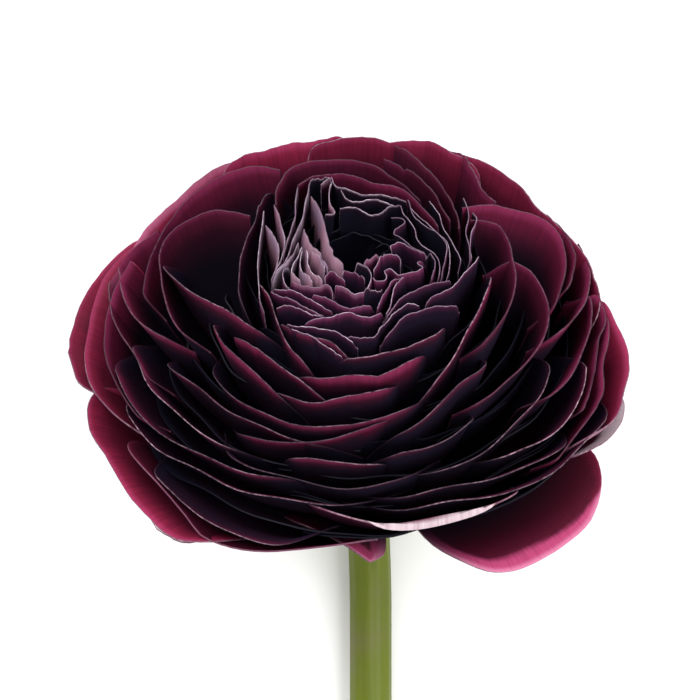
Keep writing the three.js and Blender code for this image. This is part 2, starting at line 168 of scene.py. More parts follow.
@dataclass(frozen=True)
class Bloom:
    """The space that the petals grow in, in millimetres."""

    # The innermost and the outermost level, and how far out and how high up their roots are.
    levels: Station = (7.0, 47.0)
    root_out: Station = (2.6, 6.8)
    root_up: Station = (-11.0, -21.0)
    # How high the rims stand and how far they lean out, against their level, and the roots' lean.
    rim_height: Profile = Profile((
        (5, 22.0), (10, 22.2), (15, 21.4), (20, 19.9), (30, 12.6), (38.5, 4.3), (43, -1.2), (47, -6.2),
        (53, -12),
    ))
    rim_lean: Profile = Profile(
        ((7, -14), (14, -4), (20, 6), (30, 20), (38, 33), (43, 50), (47, 76), (53, 90))
    )
    root_lean: Profile = Profile(((7, 18), (20, 52), (34, 74), (47, 88), (53, 90)))
    # How far a layer keeps its root's lean, as a share of its level, and its rim's lean, as shares of its
    # height and of its level.
    root_pull: float = 0.62
    rim_pull: Station = (0.36, 0.1)
    # How far the surface lifts the petals over it, and between which levels this begins and ends.
    back_lift: float = 5.2
    lift_begins: Station = (19.0, 34.0)
    lift_ends: Station = (42.0, 45.5)
    # How far the heart sits to the side, and up to which distances out and from which heights on.
    heart_aside: float = -2.0
    aside_ends: Station = (8.0, 18.0)
    aside_heights: Station = (0.0, 18.0)
    ripple_size: Profile = Profile(((5, 0.5), (13, 0.55), (18, 0.45), (30, 0.4), (40, 0.5), (47, 0.8)))
    # The heart's frill outwards in millimetres, its meander round the axis as a share of that, and between
    # which levels it ends.
    frill: float = 1.3
    meander: float = 0.42
    frill_ends: Station = (8.5, 14.0)

    def matrix(self) -> Matrix:
        """The turn from (X, up the axis, towards the upper side) to the row's frame."""
        tilt = math.radians(BLOOM_TILT)
        axis = Vector((0.0, math.cos(tilt), math.sin(tilt)))
        upper = Vector((0.0, -math.sin(tilt), math.cos(tilt)))
        columns = Matrix((Vector((1.0, 0.0, 0.0)), axis, upper)).transposed()
        return Matrix.Translation(Vector(BLOOM_MIDDLE)) @ columns.to_4x4()

    def place(self, turn: np.ndarray, out: np.ndarray, up: np.ndarray) -> np.ndarray:
        """Points of the row's frame at turns, distances out and heights up.

        Args:
            turn: Degrees round the axis.
            out: Millimetres out from it.
            up: Millimetres up along it.

        Returns:
            An array of points, one row each.
        """
        angle = np.radians(turn)
        aside = self.heart_aside * (1 - smoothstep(out, *self.aside_ends))
        aside = aside * smoothstep(up, *self.aside_heights)
        local = np.stack([np.sin(angle) * out + aside, up + 0 * angle, np.cos(angle) * out], -1)
        turned = np.array(self.matrix())
        return local @ turned[:3, :3].T + turned[:3, 3]

    def layer(self, level: np.ndarray, climb: np.ndarray) -> tuple[np.ndarray, np.ndarray]:
        """Where layers are at a climb of 0 (root) to 1 (rim), along one cubic curve each.

        Args:
            level: How far out each layer's rim stands.
            climb: How far up the layer.

        Returns:
            The distances out and the heights up.
        """
        share = np.maximum(0.0, (level - self.levels[0]) / (self.levels[1] - self.levels[0]))
        root = (
            self.root_out[0] + (self.root_out[1] - self.root_out[0]) * share,
            self.root_up[0] + (self.root_up[1] - self.root_up[0]) * share**0.9,
        )
        rim = (level, self.rim_height(level))
        root_lean, rim_lean = np.radians(self.root_lean(level)), np.radians(self.rim_lean(level))
        low, high = self.root_pull * level, self.rim_pull[0] * (rim[1] - root[1]) + self.rim_pull[1] * level
        first = (root[0] + low * np.sin(root_lean), root[1] + low * np.cos(root_lean))
        second = (rim[0] - high * np.sin(rim_lean), rim[1] - high * np.cos(rim_lean))
        weights = ((1 - climb) ** 3, 3 * (1 - climb) ** 2 * climb, 3 * (1 - climb) * climb**2, climb**3)
        stops = (root, first, second, rim)
        out, up = (sum(w * stop[i] for w, stop in zip(weights, stops)) for i in (0, 1))
        return out, up

    def layer_length(self, level: float) -> float:
        """The length of a layer from root to rim."""
        climb = np.linspace(0.0, 1.0, 33)
        out, up = self.layer(np.full_like(climb, level), climb)
        return float(np.hypot(np.diff(out), np.diff(up)).sum())

    def ripple(self, turn: np.ndarray, level: np.ndarray) -> tuple[np.ndarray, np.ndarray]:
        """How neighbouring layers wave together: smooth in turn and level, so that no two of them meet.

        Args:
            turn: Degrees round the axis.
            level: How far out the layer's rim stands.

        Returns:
            The steps round the axis, in degrees, and outwards, in millimetres. The heart's frill meanders, so
            that its folds bulge past their necks.
        """
        angle = np.radians(turn)
        broad = sum(part * np.sin(waves * angle + drift * level + lag) for part, waves, drift, lag in RIPPLES)
        phase = 9 * angle + 0.35 * level + 0.9 * np.sin(2 * angle + 1.0) + 0.5 * np.sin(3 * angle - level / 3)
        frilled = self.frill * (1 - smoothstep(level, *self.frill_ends))
        frilled = frilled * smoothstep(np.cos(angle - 0.6), -0.5, 0.5)
        around = -self.meander * frilled * np.sin(2 * phase)
        outwards = self.ripple_size(level) * broad + frilled * np.sin(phase)
        return np.degrees(around / np.maximum(level, 4.0)), outwards

    def inward(self, level: np.ndarray) -> tuple[np.ndarray, np.ndarray]:
        """The way straight into the dome of the rims, as steps out and up."""
        slope = self.rim_height(level + 0.5) - self.rim_height(level - 0.5)
        size = np.hypot(1.0, slope)
        return slope / size, -1.0 / size

    def lift(self, turn: np.ndarray, level: np.ndarray, climb: np.ndarray) -> np.ndarray:
        """How far the surface pushes up the petals of the side that faces it."""
        back = smoothstep(-np.cos(np.radians(turn)), 0.0, 0.9)
        lifted = smoothstep(level, *self.lift_begins) - smoothstep(level, *self.lift_ends)
        return self.back_lift * lifted * back * climb**2


BLOOM = Bloom()


def pressed(points: np.ndarray, floor: float = 0.35, softness: float = 1.2) -> np.ndarray:
    """Presses up what would lie below the surface, so that the lowest petals go flat.

    Args:
        points: Points of the row's frame, one row each.
        floor: The lowest that a petal's surface lies.
        softness: Over how much height it bends.

    Returns:
        The pressed points.
    """
    depth = points[:, 2] - floor
    flat = points.copy()
    flat[:, 2] = floor + (depth + np.hypot(depth, softness)) / 2
    return flat


@dataclass(frozen=True)
class Petal:
    """One petal: a patch of a layer, with its rim's outline."""

    # The middle's turn, half the width in degrees, and the levels at the left end, the middle and the right.
    turn: float = 0.0
    half_width: float = 30.0
    levels: Levels = (20.0, 20.0, 20.0)
    # How much wine colour shows, partly the petal's own and partly painted light and shade, and how much of it
    # is gone at the ends.
    tone: float = 0.5
    fade: float = 1.0
    # The climb of the foot and of the rim, by how much the rim falls to its ends, and how square they are.
    start: float = 0.06
    reach: float = 1.0
    drop: float = 0.06
    fullness: float = 7.0
    # Where the rim is highest, in half widths from the middle.
    apex: float = 0.0
    # How far the rim sinks, and its dips and curl, in millimetres.
    hang: float = 0.0
    uneven: float = 0.45
    curl: float = 0.3
    # The share of the bloom's ripple that it takes part in.
    wave: float = 1.0
    # How far out each end is, in half widths, and how far it is tucked into the dome.
    ends: Station = (1.0, 1.0)
    tuck: Station = (0.0, 0.0)
    # How pale the rim may be, and how far down its painted lit band and highlight spread.
    pale: float = 1.0
    spread: float = 1.0
    # Turn and level at stations along the rim, left to right, in place of turn, width and levels.
    rim: Rim = ()
    # How wide the margin is that is folded outwards.
    cuff: float = 0.0
    # How wide the pink or pale margin is, and how fast it narrows to both sides.
    flare: float = 0.0
    taper: float = 0.9
    seed: int = 0

    def outline(self, beside: np.ndarray, length: float) -> np.ndarray:
        """The climb of the rim at each place beside the middle, with its small dips."""
        after = (beside - self.apex) / (self.ends[1] - self.apex)
        before = (self.apex - beside) / (self.ends[0] + self.apex)
        rim = self.reach - self.drop * np.maximum(after, before) ** self.fullness
        dips = np.zeros_like(beside)
        for i, (waves, share) in enumerate(RIM_DIPS):
            dips += share * np.sin(waves * beside + FULL_TURN * draw(self.seed * 3.1 + i))
        notch_at = NOTCH_ASIDE * (2 * draw(self.seed + 0.3) - 1)
        notch_depth = NOTCH_DEPTH * max(0.0, draw(self.seed + 0.7) - NOTCH_FREE)
        dips -= notch_depth * np.exp(-(((beside - notch_at) / NOTCH_WIDTH) ** 2))
        return rim + self.uneven * dips / length

    def course(self, beside: np.ndarray, waist: np.ndarray) -> tuple[np.ndarray, np.ndarray, float]:
        """Where the petal runs in the bloom.

        Args:
            beside: The place beside the middle, 1 half a width to the right of it.
            waist: How wide the petal is there, as a share.

        Returns:
            The turns, the levels and half the petal's width in millimetres.
        """
        if self.rim:
            turns, levels = np.array(self.rim, float).T
            mean = (levels[1:] + levels[:-1]) / 2
            steps = np.hypot(np.radians(np.diff(turns)) * mean, np.diff(levels))
            walked = np.concatenate([[0.0], np.cumsum(steps)])
            at = 2 * walked / walked[-1] - 1
            turn, level = (Profile(list(zip(at, stop)), True)(beside) for stop in (turns, levels))
            turn, level = (x.mean() + (x - x.mean()) * waist for x in (turn, level))
            return turn, level, float(walked[-1]) / 2
        left, middle, right = self.levels
        slant = (right - left) / (2 * LEVEL_ASIDE)
        bow = (left + right - 2 * middle) / (2 * LEVEL_ASIDE**2)
        aside = beside * waist
        bent = np.clip(aside, -1.0, 1.0)
        level = middle + slant * aside + bow * (2 * np.abs(bent * aside) - bent**2)
        return self.turn + self.half_width * aside, level, math.radians(self.half_width) * middle

    def surface(self, across: np.ndarray, share: np.ndarray) -> tuple[np.ndarray, ...]:
        """The petal's outer face.

        Args:
            across: From -1 at the left end to 1 at the right end.
            share: From 0 at the foot to 1 at the rim.

        Returns:
            The points, and what dressing() gives.
        """
        middle = float(np.mean([level for _, level in self.rim])) if self.rim else self.levels[1]
        length = BLOOM.layer_length(middle)
        end = np.where(across < 0, self.ends[0], self.ends[1])
        beside = across * end
        rim = self.outline(beside, length)
        climb = self.start + (rim - self.start) * share
        risen = np.clip((climb - self.start) / (self.reach - self.start), 0.0, 1.05)
        widest = WIDE_FROM * (self.reach - self.drop)
        waist = FOOT_WIDTH + (1 - FOOT_WIDTH) * smoothstep(climb, self.start, widest)
        turn, level, half = self.course(beside, waist)
        step = 1e-3
        rise = self.outline(beside + step, length) - self.outline(beside - step, length)
        slope = rise * length / (2 * step * half)
        to_rim = (rim - climb) * length / np.hypot(1.0, slope)
        around, outwards = BLOOM.ripple(turn, level)
        turn, level = turn + self.wave * around * risen**2, level + self.wave * outwards * risen**2
        curled = np.sin(CURL_ACROSS * across + FULL_TURN * draw(self.seed + 0.9))
        level = level + self.curl * np.exp(-to_rim / CURL_DEPTH) * curled
        out, up = BLOOM.layer(level, climb)
        tucked = np.where(across < 0, self.tuck[0], self.tuck[1]) * risen
        tucked = tucked * smoothstep(np.abs(beside), TUCK_FROM, end)
        step_out, step_up = BLOOM.inward(level)
        out, up = out + tucked * step_out, up + tucked * step_up
        sag = self.hang * risen**SAG_POWER
        out, up = out - SAG_IN * sag, up - sag + BLOOM.lift(turn, level, climb)
        folded = np.clip(self.cuff * (1 - FOLD_TAPER * (beside - self.apex) ** 2) - to_rim, 0.0, None)
        out, up = out - FOLD_IN * folded, up - FOLD_DOWN * folded
        points = pressed(BLOOM.place(turn, out, up))
        return points, *self.dressing(beside, climb, to_rim, (half, length))

    def dressing(
        self, beside: np.ndarray, climb: np.ndarray, to_rim: np.ndarray, size: Station
    ) -> tuple[np.ndarray, ...]:
        """What the skins need to know of places on the petal.

        Args:
            beside: The places beside the middle, in half widths.
            climb: Their climbs.
            to_rim: Their distances from the rim in millimetres.
            size: Half the petal's width and its length in millimetres.

        Returns:
            For each its way across and along in millimetres and a number of the petal's own; for each its
            distance from the rim, its tone with its painted light and its climb; how much each is in the
            margin's pink flare; and how pale the rim is there.
        """
        half, length = size
        own = np.full_like(beside, 17.0 * draw(self.seed + 0.21) + 31.0 * draw(self.seed + 5.3))
        place = np.stack([beside * half, climb * length, own], -1)
        shown = 1 - self.fade * smoothstep(np.abs(beside), *FADE_RANGE)
        dress = np.stack([to_rim / self.spread, self.tone * shown, climb], -1)
        bare = shown * self.pale * (LEAST_PALE + (1 - LEAST_PALE) * draw(self.seed + 8.1))
        width = np.clip(FLARE_WIDEST - self.taper * (beside - self.apex) ** 2, 0.01, 1)
        width = width * (1 + FLARE_WAVE[1] * np.sin(FLARE_WAVE[0] * beside + self.seed))
        inside = 1 - smoothstep(to_rim / (max(self.flare, 0.01) * width), *FLARE_END)
        return place, dress, inside * min(1.0, self.flare / FLARE_FULL), bare


def along(rim: Rim, tuck: float, back_turn: float = 100.0, **others: float) -> Petal:
    """A petal along a rim, with each end tucked in unless it is a free tip at the back.

    Args:
        rim: Turn and level at stations along the rim.
        tuck: How deep the ends are tucked in.
        back_turn: From which turn on an end is at the back.
        others: More of the petal's fields.

    Returns:
        The petal.
    """
    ends = tuple(0.0 if abs(turn) > back_turn else tuck for turn in (rim[0][0], rim[-1][0]))
    return Petal(rim=rim, drop=0.0, tuck=ends, **others)


class Graph:
    """A material's nodes, and short ways to add those that the finishes share."""

    def __init__(self, name: str) -> None:
        """Starts a material that has no nodes yet.

        Args:
            name: The material's name.
        """
        self.material = bpy.data.materials.new(name)
        self.material.use_nodes = True
        self.tree = self.material.node_tree
        self.tree.nodes.clear()

    def add(self, kind: str, settings: dict | None = None, inputs: dict | None = None) -> bpy.types.Node:
        """Adds a node with its settings and links.

        Args:
            kind: The node's type.
            settings: Its properties by name.
            inputs: By name or number, a value, a socket to link or a node whose first output is linked.

        Returns:
            The node.
        """
        node = self.tree.nodes.new(kind)
        for name, value in (settings or {}).items():
            setattr(node, name, value)
        for key, value in (inputs or {}).items():
            named = (s for s in node.inputs if s.enabled and s.name == key)
            socket = node.inputs[key] if isinstance(key, int) else next(named)
            if isinstance(value, bpy.types.Node):
                value = next(s for s in value.outputs if s.enabled)
            if isinstance(value, bpy.types.NodeSocket):
                self.tree.links.new(value, socket)
            else:
                socket.default_value = value
        return node

    def attribute(self, name: str, output: str) -> bpy.types.NodeSocket:
        """The mesh's attribute of a name, as a "Vector" or a "Fac"."""
        return self.add("ShaderNodeAttribute", {"attribute_name": name}).outputs[output]

    def noise(self, where: Value, scale: float, detail: float) -> bpy.types.Node:
        """Noise whose grains are about 1 / scale wide."""
        return self.add("ShaderNodeTexNoise", None, {"Vector": where, "Scale": scale, "Detail": detail})

    def drawn_noise(self, where: Value, scale: Row) -> bpy.types.Node:
        """Noise that is drawn out by a scale of its own along each axis."""
        drawn = self.add("ShaderNodeMapping", None, {"Vector": where, "Scale": scale})
        return self.noise(drawn, 1.0, 3.0)

    def times(self, value: Value, factor: Value, plus: Value = 0.0, clamp: bool = False) -> bpy.types.Node:
        """A product with something added, held between 0 and 1 if it is clamped."""
        settings = {"operation": "MULTIPLY_ADD", "use_clamp": clamp}
        return self.add("ShaderNodeMath", settings, {0: value, 1: factor, 2: plus})

    def ramp(self, value: Value, span: Sequence[Value], ends: Station, smooth: bool = True) -> bpy.types.Node:
        """A passage between two values.

        Args:
            value: What it follows.
            span: Where it begins and ends.
            ends: Its values there.
            smooth: Whether it is eased, not straight.

        Returns:
            The node.
        """
        settings = {"interpolation_type": "SMOOTHSTEP" if smooth else "LINEAR"}
        inputs = {"From Min": span[0], "From Max": span[1], "To Min": ends[0], "To Max": ends[1]}
        return self.add("ShaderNodeMapRange", settings, {"Value": value, **inputs})

    def mix(self, share: Value, first: Value | str, second: Value | str) -> bpy.types.Node:
        """A blend of two colours, each a link or a hex code."""
        ends = [linear(colour) if isinstance(colour, str) else colour for colour in (first, second)]
        return self.add("ShaderNodeMix", {"data_type": "RGBA"}, {"Factor": share, "A": ends[0], "B": ends[1]})

    def bump(self, height: Value, strength: float, distance: float) -> bpy.types.Node:
        """Relief of a depth in millimetres."""
        inputs = {"Strength": strength, "Distance": distance * MM, "Height": height}
        return self.add("ShaderNodeBump", None, inputs)

    def surfaced(self, inputs: dict) -> bpy.types.Material:
        """The material with its surface, of which some inputs are given by name."""
        shader = self.add("ShaderNodeBsdfPrincipled", None, {"IOR": PLANT_IOR, **inputs})
        self.add("ShaderNodeOutputMaterial", None, {"Surface": shader})
        return self.material


@dataclass(frozen=True)
class PetalSkin:
    """Petal skin: tiny domed cells over coloured sap, which drink the light and shine a little where they are
    seen along the surface. Fine veins run up it. Light and shade are painted into its colour: a lit band of
    wine below the rim with a highlight close to the rim, and shade deeper down and at the foot."""

    # The colours: in painted shade, the wine of the painted lit band, the painted highlight close to the rim,
    #     the rim's line, and at the foot, where it is painted shade but greenish on the pale outer faces.
    name: str
    deep: str
    flush: str
    glow: str
    rim: str
    foot: str
    # The wine everywhere as a share, and how wide the painted lit band below the rim is, in millimetres.
    everywhere: float = 0.2
    lit_band: float = 5.0
    # How wide the painted highlight is, in millimetres: at no tone, and how much more at full tone.
    near_highlight: Station = (0.4, 2.2)
    # The painted highlight of dim petals, a painted bluish sheen in it and that sheen's greatest share.
    faint_highlight: str = ""
    bluish_sheen: str = "#503a50"
    bluish_sheen_share: float = 0.0
    # The margin's flare, and its paler rim if it has one.
    flare: str = "#b04878"
    flare_rim: str = ""
    rim_share: float = 0.4
    # The climbs between which the foot's colour ends: painted shade on the dark skins, a greenish base on the
    # pale outer faces.
    foot_tint_and_shade_range: Station = (0.08, 0.4)
    roughness: float = 0.55
    specular: float = 0.05
    sheen: float = 0.01
    sheen_roughness: float = 0.4
    sheen_tint: str = "#b0567c"
    # Grains to the millimetre of the veins, across and along, and of what varies the colour.
    vein_scale: Row = (2.2, 0.09, 1.0)
    blotch_scale: float = 0.2
    bluish_sheen_scale: float = 0.17
    rim_scale: float = 5.0

    def material(self) -> bpy.types.Material:
        """The finish as a material."""
        graph = Graph(self.name)
        place, flared = graph.attribute("place", "Vector"), graph.attribute("flare", "Fac")
        dress = graph.attribute("dress", "Vector")
        edge, tone, climb = graph.add("ShaderNodeSeparateXYZ", None, {0: dress}).outputs
        veins = graph.drawn_noise(place, self.vein_scale)
        blotches, grain = graph.noise(place, self.blotch_scale, 2.0), graph.noise(place, self.rim_scale, 1.0)
        streak = graph.times(veins, 1.1, 0.45)
        # The wine, in a painted lit band below the rim and faintly everywhere; elsewhere the colour stays the
        # painted shade.
        reach = graph.times(graph.times(tone, self.lit_band, 1.0), graph.times(blotches, 1.2, 0.4))
        lit_band = graph.times(graph.ramp(edge, (0.0, reach), (1.0, 0.0)), graph.times(tone, 0.8, 0.15))
        amount = graph.times(tone, self.everywhere, lit_band)
        colour = graph.mix(graph.times(amount, streak, clamp=True), self.deep, self.flush)
        # The painted highlight close to the rim, with a painted bluish sheen in stretches.
        near_highlight = graph.ramp(edge, (0.0, graph.times(tone, self.near_highlight[1], self.near_highlight[0])), (0.9, 0.0))
        near_highlight = graph.times(graph.times(near_highlight, tone), streak, clamp=True)
        bluish_sheen = graph.ramp(graph.noise(place, self.bluish_sheen_scale, 1.0), (0.5, 0.62), (0.0, self.bluish_sheen_share))
        glow = graph.mix(bluish_sheen, self.glow, self.bluish_sheen)
        if self.faint_highlight:
            glow = graph.mix(graph.ramp(tone, (0.5, 0.75), (0.0, 1.0), False), self.faint_highlight, glow)
        colour = graph.mix(near_highlight, colour, glow)
        flared = graph.times(flared, streak, clamp=True)
        colour = graph.mix(flared, colour, self.flare)
        if self.flare_rim:
            palest = graph.times(graph.ramp(edge, (0.0, 2.0), (0.9, 0.0)), flared)
            colour = graph.mix(palest, colour, self.flare_rim)
        # The foot: painted shade on the dark skins, a greenish base on the pale outer faces.
        colour = graph.mix(graph.ramp(climb, self.foot_tint_and_shade_range, (1.0, 0.0)), colour, self.foot)
        line = graph.ramp(edge, (0.0, 0.12), (self.rim_share, 0.0))
        line = graph.times(line, graph.times(grain, 0.9, 0.3), clamp=True)
        return graph.surfaced({
            "Base Color": graph.mix(line, colour, self.rim),
            "Roughness": self.roughness,
            "Specular IOR Level": self.specular,
            "Sheen Weight": self.sheen,
            "Sheen Roughness": self.sheen_roughness,
            "Sheen Tint": linear(self.sheen_tint),
            "Normal": graph.bump(veins, 0.5, 0.05),
        })


@dataclass(frozen=True)
class RimSkin:
    """The torn-thin rim of a petal, where the sap's colour gives way to dry pale cells in uneven beads."""

    name: str
    pale: str
    dark: str
    evenness: float = 0.5
    # Grains to the millimetre of the beads and of the stretches that are paler or darker.
    bead_scale: float = 1.4
    stretch_scale: float = 0.12

    def material(self) -> bpy.types.Material:
        """The finish as a material."""
        graph = Graph(self.name)
        place, pale = graph.attribute("place", "Vector"), graph.attribute("pale", "Fac")
        stretches = graph.ramp(graph.noise(place, self.stretch_scale, 1.0), (0.35, 0.62), (0.25, 1.0), False)
        beads = graph.ramp(graph.noise(place, self.bead_scale, 3.0), (0.3, 0.75), (self.evenness, 1.0), False)
        beads = graph.times(beads, graph.times(pale, stretches), clamp=True)
        colour = graph.mix(beads, self.dark, self.pale)
        return graph.surfaced({"Base Color": colour, "Roughness": 0.6, "Specular IOR Level": 0.2})


@dataclass(frozen=True)
class GreenSkin:
    """Smooth green stem or sepal skin with a waxy bloom: lengthwise ribs of a paler green and a purple blush.
    """

    name: str
    green: str
    pale: str
    blush: str
    blush_share: float = 0.35
    # Grains to the metre of the ribs and of the blush's clouds.
    rib_scale: Row = (900.0, 40.0, 900.0)
    cloud_scale: float = 90.0

    def material(self) -> bpy.types.Material:
        """The finish as a material."""
        graph = Graph(self.name)
        where = graph.add("ShaderNodeTexCoord").outputs["Object"]
        ribs = graph.drawn_noise(where, self.rib_scale)
        clouds = graph.noise(where, self.cloud_scale, 2.0)
        blushed = graph.ramp(clouds, (0.45, 0.75), (0.0, self.blush_share))
        colour = graph.mix(blushed, graph.mix(ribs, self.green, self.pale), self.blush)
        relief = graph.bump(ribs, 0.4, 0.1)
        return graph.surfaced(
            {"Base Color": colour, "Roughness": 0.45, "Specular IOR Level": 0.35, "Normal": relief}
        )


class Skins(Enum):
    """The flower's finishes by where they are."""

    FLANK_OUTER = PetalSkin(
        "petal_skin_dark_outer", "#191725", "#4c1226", "#7c2a4c", "#6c5562", "#15131f", 0.1, 5.0
    )
    FLANK_INNER = PetalSkin(
        "petal_skin_dark_inner", "#1e1829", "#4c1226", "#6c2446", "#6c5562", "#12101a", 0.4, 8.0
    )
    SPREAD_OUTER = PetalSkin(
        "petal_skin_pale_outer", "#8c7680", "#8a6672", "#8a4a66", "#a8949c", "#7a7a52", 0.3, 3.0,
        flare="#8c5a70",
    )
    SPREAD_INNER = PetalSkin(
        "petal_skin_wine_inner", "#340e1d", "#7c1f3a", "#a83c66", "#8a5870", "#16101a", 0.7, 10.0,
        flare="#a84069", flare_rim="#c67898", foot_tint_and_shade_range=(0.3, 0.7),
    )
    HEART_OUTER = PetalSkin(
        "heart_skin_outer", "#181422", "#58203e", "#b68a9e", "#b09cab", "#0c0b15", 0.15, 2.2, (0.2, 1.4),
        faint_highlight="#7e3c60", bluish_sheen="#7a7c9c", bluish_sheen_share=0.4,
    )
    HEART_INNER = PetalSkin(
        "heart_skin_inner", "#15141f", "#2a1524", "#a08c9c", "#9a8898", "#12111c", 0.05, 1.0, (0.1, 0.5)
    )
    # The back petals' inner faces: the foot's painted shade reaches nearly to the rim.
    BACK_INNER = PetalSkin(
        "petal_skin_back_inner", "#240e19", "#5a1830", "#8a3056", "#8a5068", "#14101a", 0.5, 12.0,
        foot_tint_and_shade_range=(0.76, 0.97),
    )
    # Petals that only fill gaps are painted in shade all over, with no lit band, highlight or pale rim.
    DEEP = PetalSkin("petal_skin_shaded_fill", "#151421", "#191623", "#1c1826", "#151421", "#11101b", rim_share=0.0)
    DEEP_RIM = RimSkin("petal_rim_shaded_fill", "#171522", "#14121e")
    # The blanched guard petals' outer face is painted in shade, dark wine, all but its pale margin.
    BLANCHED = PetalSkin(
        "petal_skin_blanched", "#241420", "#4c1a30", "#983a60", "#b8a8ae", "#100810", 0.6, 8.0,
        flare="#a8989e",
    )
    BLANCHED_INNER = PetalSkin(
        "petal_skin_blanched_inner", "#340c1c", "#5a1630", "#983a60", "#b8a8ae", "#100810", 0.6, 8.0,
        flare="#dccfd4",
    )
    BACK_RIM = RimSkin("petal_rim_soft", "#6c4256", "#341424", 0.0)
    DARK_RIM = RimSkin("petal_rim_dry", "#b2909f", "#1c101e", 0.0)
    PALE_RIM = RimSkin("petal_rim_pale", "#a8909a", "#5a2e44", 0.0)
    HEART_RIM = RimSkin("heart_rim_dry", "#cdbccb", "#5a4056", 0.1)
    STEM = GreenSkin("stem_skin_green", "#485604", "#666f10", "#6a5a50")
    SEPAL = GreenSkin("sepal_skin_green", "#6b7a30", "#9aa25a", "#7a5a55")
    CUT = GreenSkin("stem_pith_cut", "#a9b070", "#c8cba0", "#a9b070")
    CARPEL = GreenSkin("carpel_skin_dark", "#141019", "#2a1f2c", "#3a2434", 0.4, (900.0, 900.0, 900.0))


# The finishes of petals that only fill gaps: painted shade all over.
SHADED_FILLING_SKINS = (Skins.DEEP, Skins.DEEP, Skins.DEEP_RIM)


def finished(
    name: str, bm: bmesh.types.BMesh, skins: Sequence[Skins], sharp: float = 50.0
) -> bpy.types.Object:
    """Turns a bmesh in millimetres into a smooth piece in metres.

    Args:
        name: The piece's name.
        bm: Its mesh, which is freed.
        skins: Its finishes, in the order of its material numbers.
        sharp: Edges bent more than this many degrees stay sharp.

    Returns:
        The piece.
    """
    bmesh.ops.scale(bm, vec=(MM, MM, MM), verts=bm.verts)
    for face in bm.faces:
        face.smooth = True
    mesh = bpy.data.meshes.new(name)
    bm.to_mesh(mesh)
    bm.free()
    mesh.set_sharp_from_angle(angle=math.radians(sharp))
    for skin in skins:
        known = bpy.data.materials.get(skin.value.name)
        mesh.materials.append(known or skin.value.material())
    piece = bpy.data.objects.new(name, mesh)
    bpy.context.scene.collection.objects.link(piece)
    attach(piece, "root")
    lowest = min(vert.co.z for vert in mesh.vertices) / MM
    LOG.info("%s: %d faces, lowest point %.2f mm", name, len(mesh.polygons), lowest)
    return piece


@dataclass
class PetalBed:
    """Petals that are built and dressed alike."""

    name: str
    petals: list[Petal]
    skins: tuple[Skins, Skins, Skins]
    columns: int = 44
    rows: int = 22
    thickness: float = 0.22
    # How closely the rows crowd towards the rim.
    crowding: float = 1.6

    def build(self) -> bpy.types.Object:
        """Makes the petals as one piece.

        Returns:
            The piece, whose three materials are the outer faces, the inner faces and the rims.
        """
        bm = bmesh.new()
        place = bm.verts.layers.float_vector.new("place")
        dress = bm.verts.layers.float_vector.new("dress")
        border = bm.verts.layers.int.new("border")
        flare = bm.verts.layers.float.new("flare")
        pale = bm.verts.layers.float.new("pale")
        for petal in self.petals:
            grid = bmesh.ops.create_grid(bm, x_segments=self.columns, y_segments=self.rows, size=1.0)["verts"]
            flat = np.array([v.co for v in grid])
            across = np.sin(flat[:, 0] * math.pi / 2)
            share = 1 - ((1 - flat[:, 1]) / 2) ** self.crowding
            for vert, here, where, worn, pink, bare in zip(grid, *petal.surface(across, share)):
                vert.co = here
                vert[place] = where
                vert[dress] = worn
                vert[flare] = pink
                vert[pale] = bare
                vert[border] = vert.is_boundary
        bm.normal_update()
        outer = list(bm.faces)
        bmesh.ops.solidify(bm, geom=outer, thickness=self.thickness)
        kept = set(outer)
        for face in bm.faces:
            rim = all(v[border] for v in face.verts)
            face.material_index = 2 if rim else int(face not in kept)
        if bm.calc_volume(signed=True) < 0:
            bmesh.ops.reverse_faces(bm, faces=bm.faces)
        return finished(self.name, bm, self.skins)


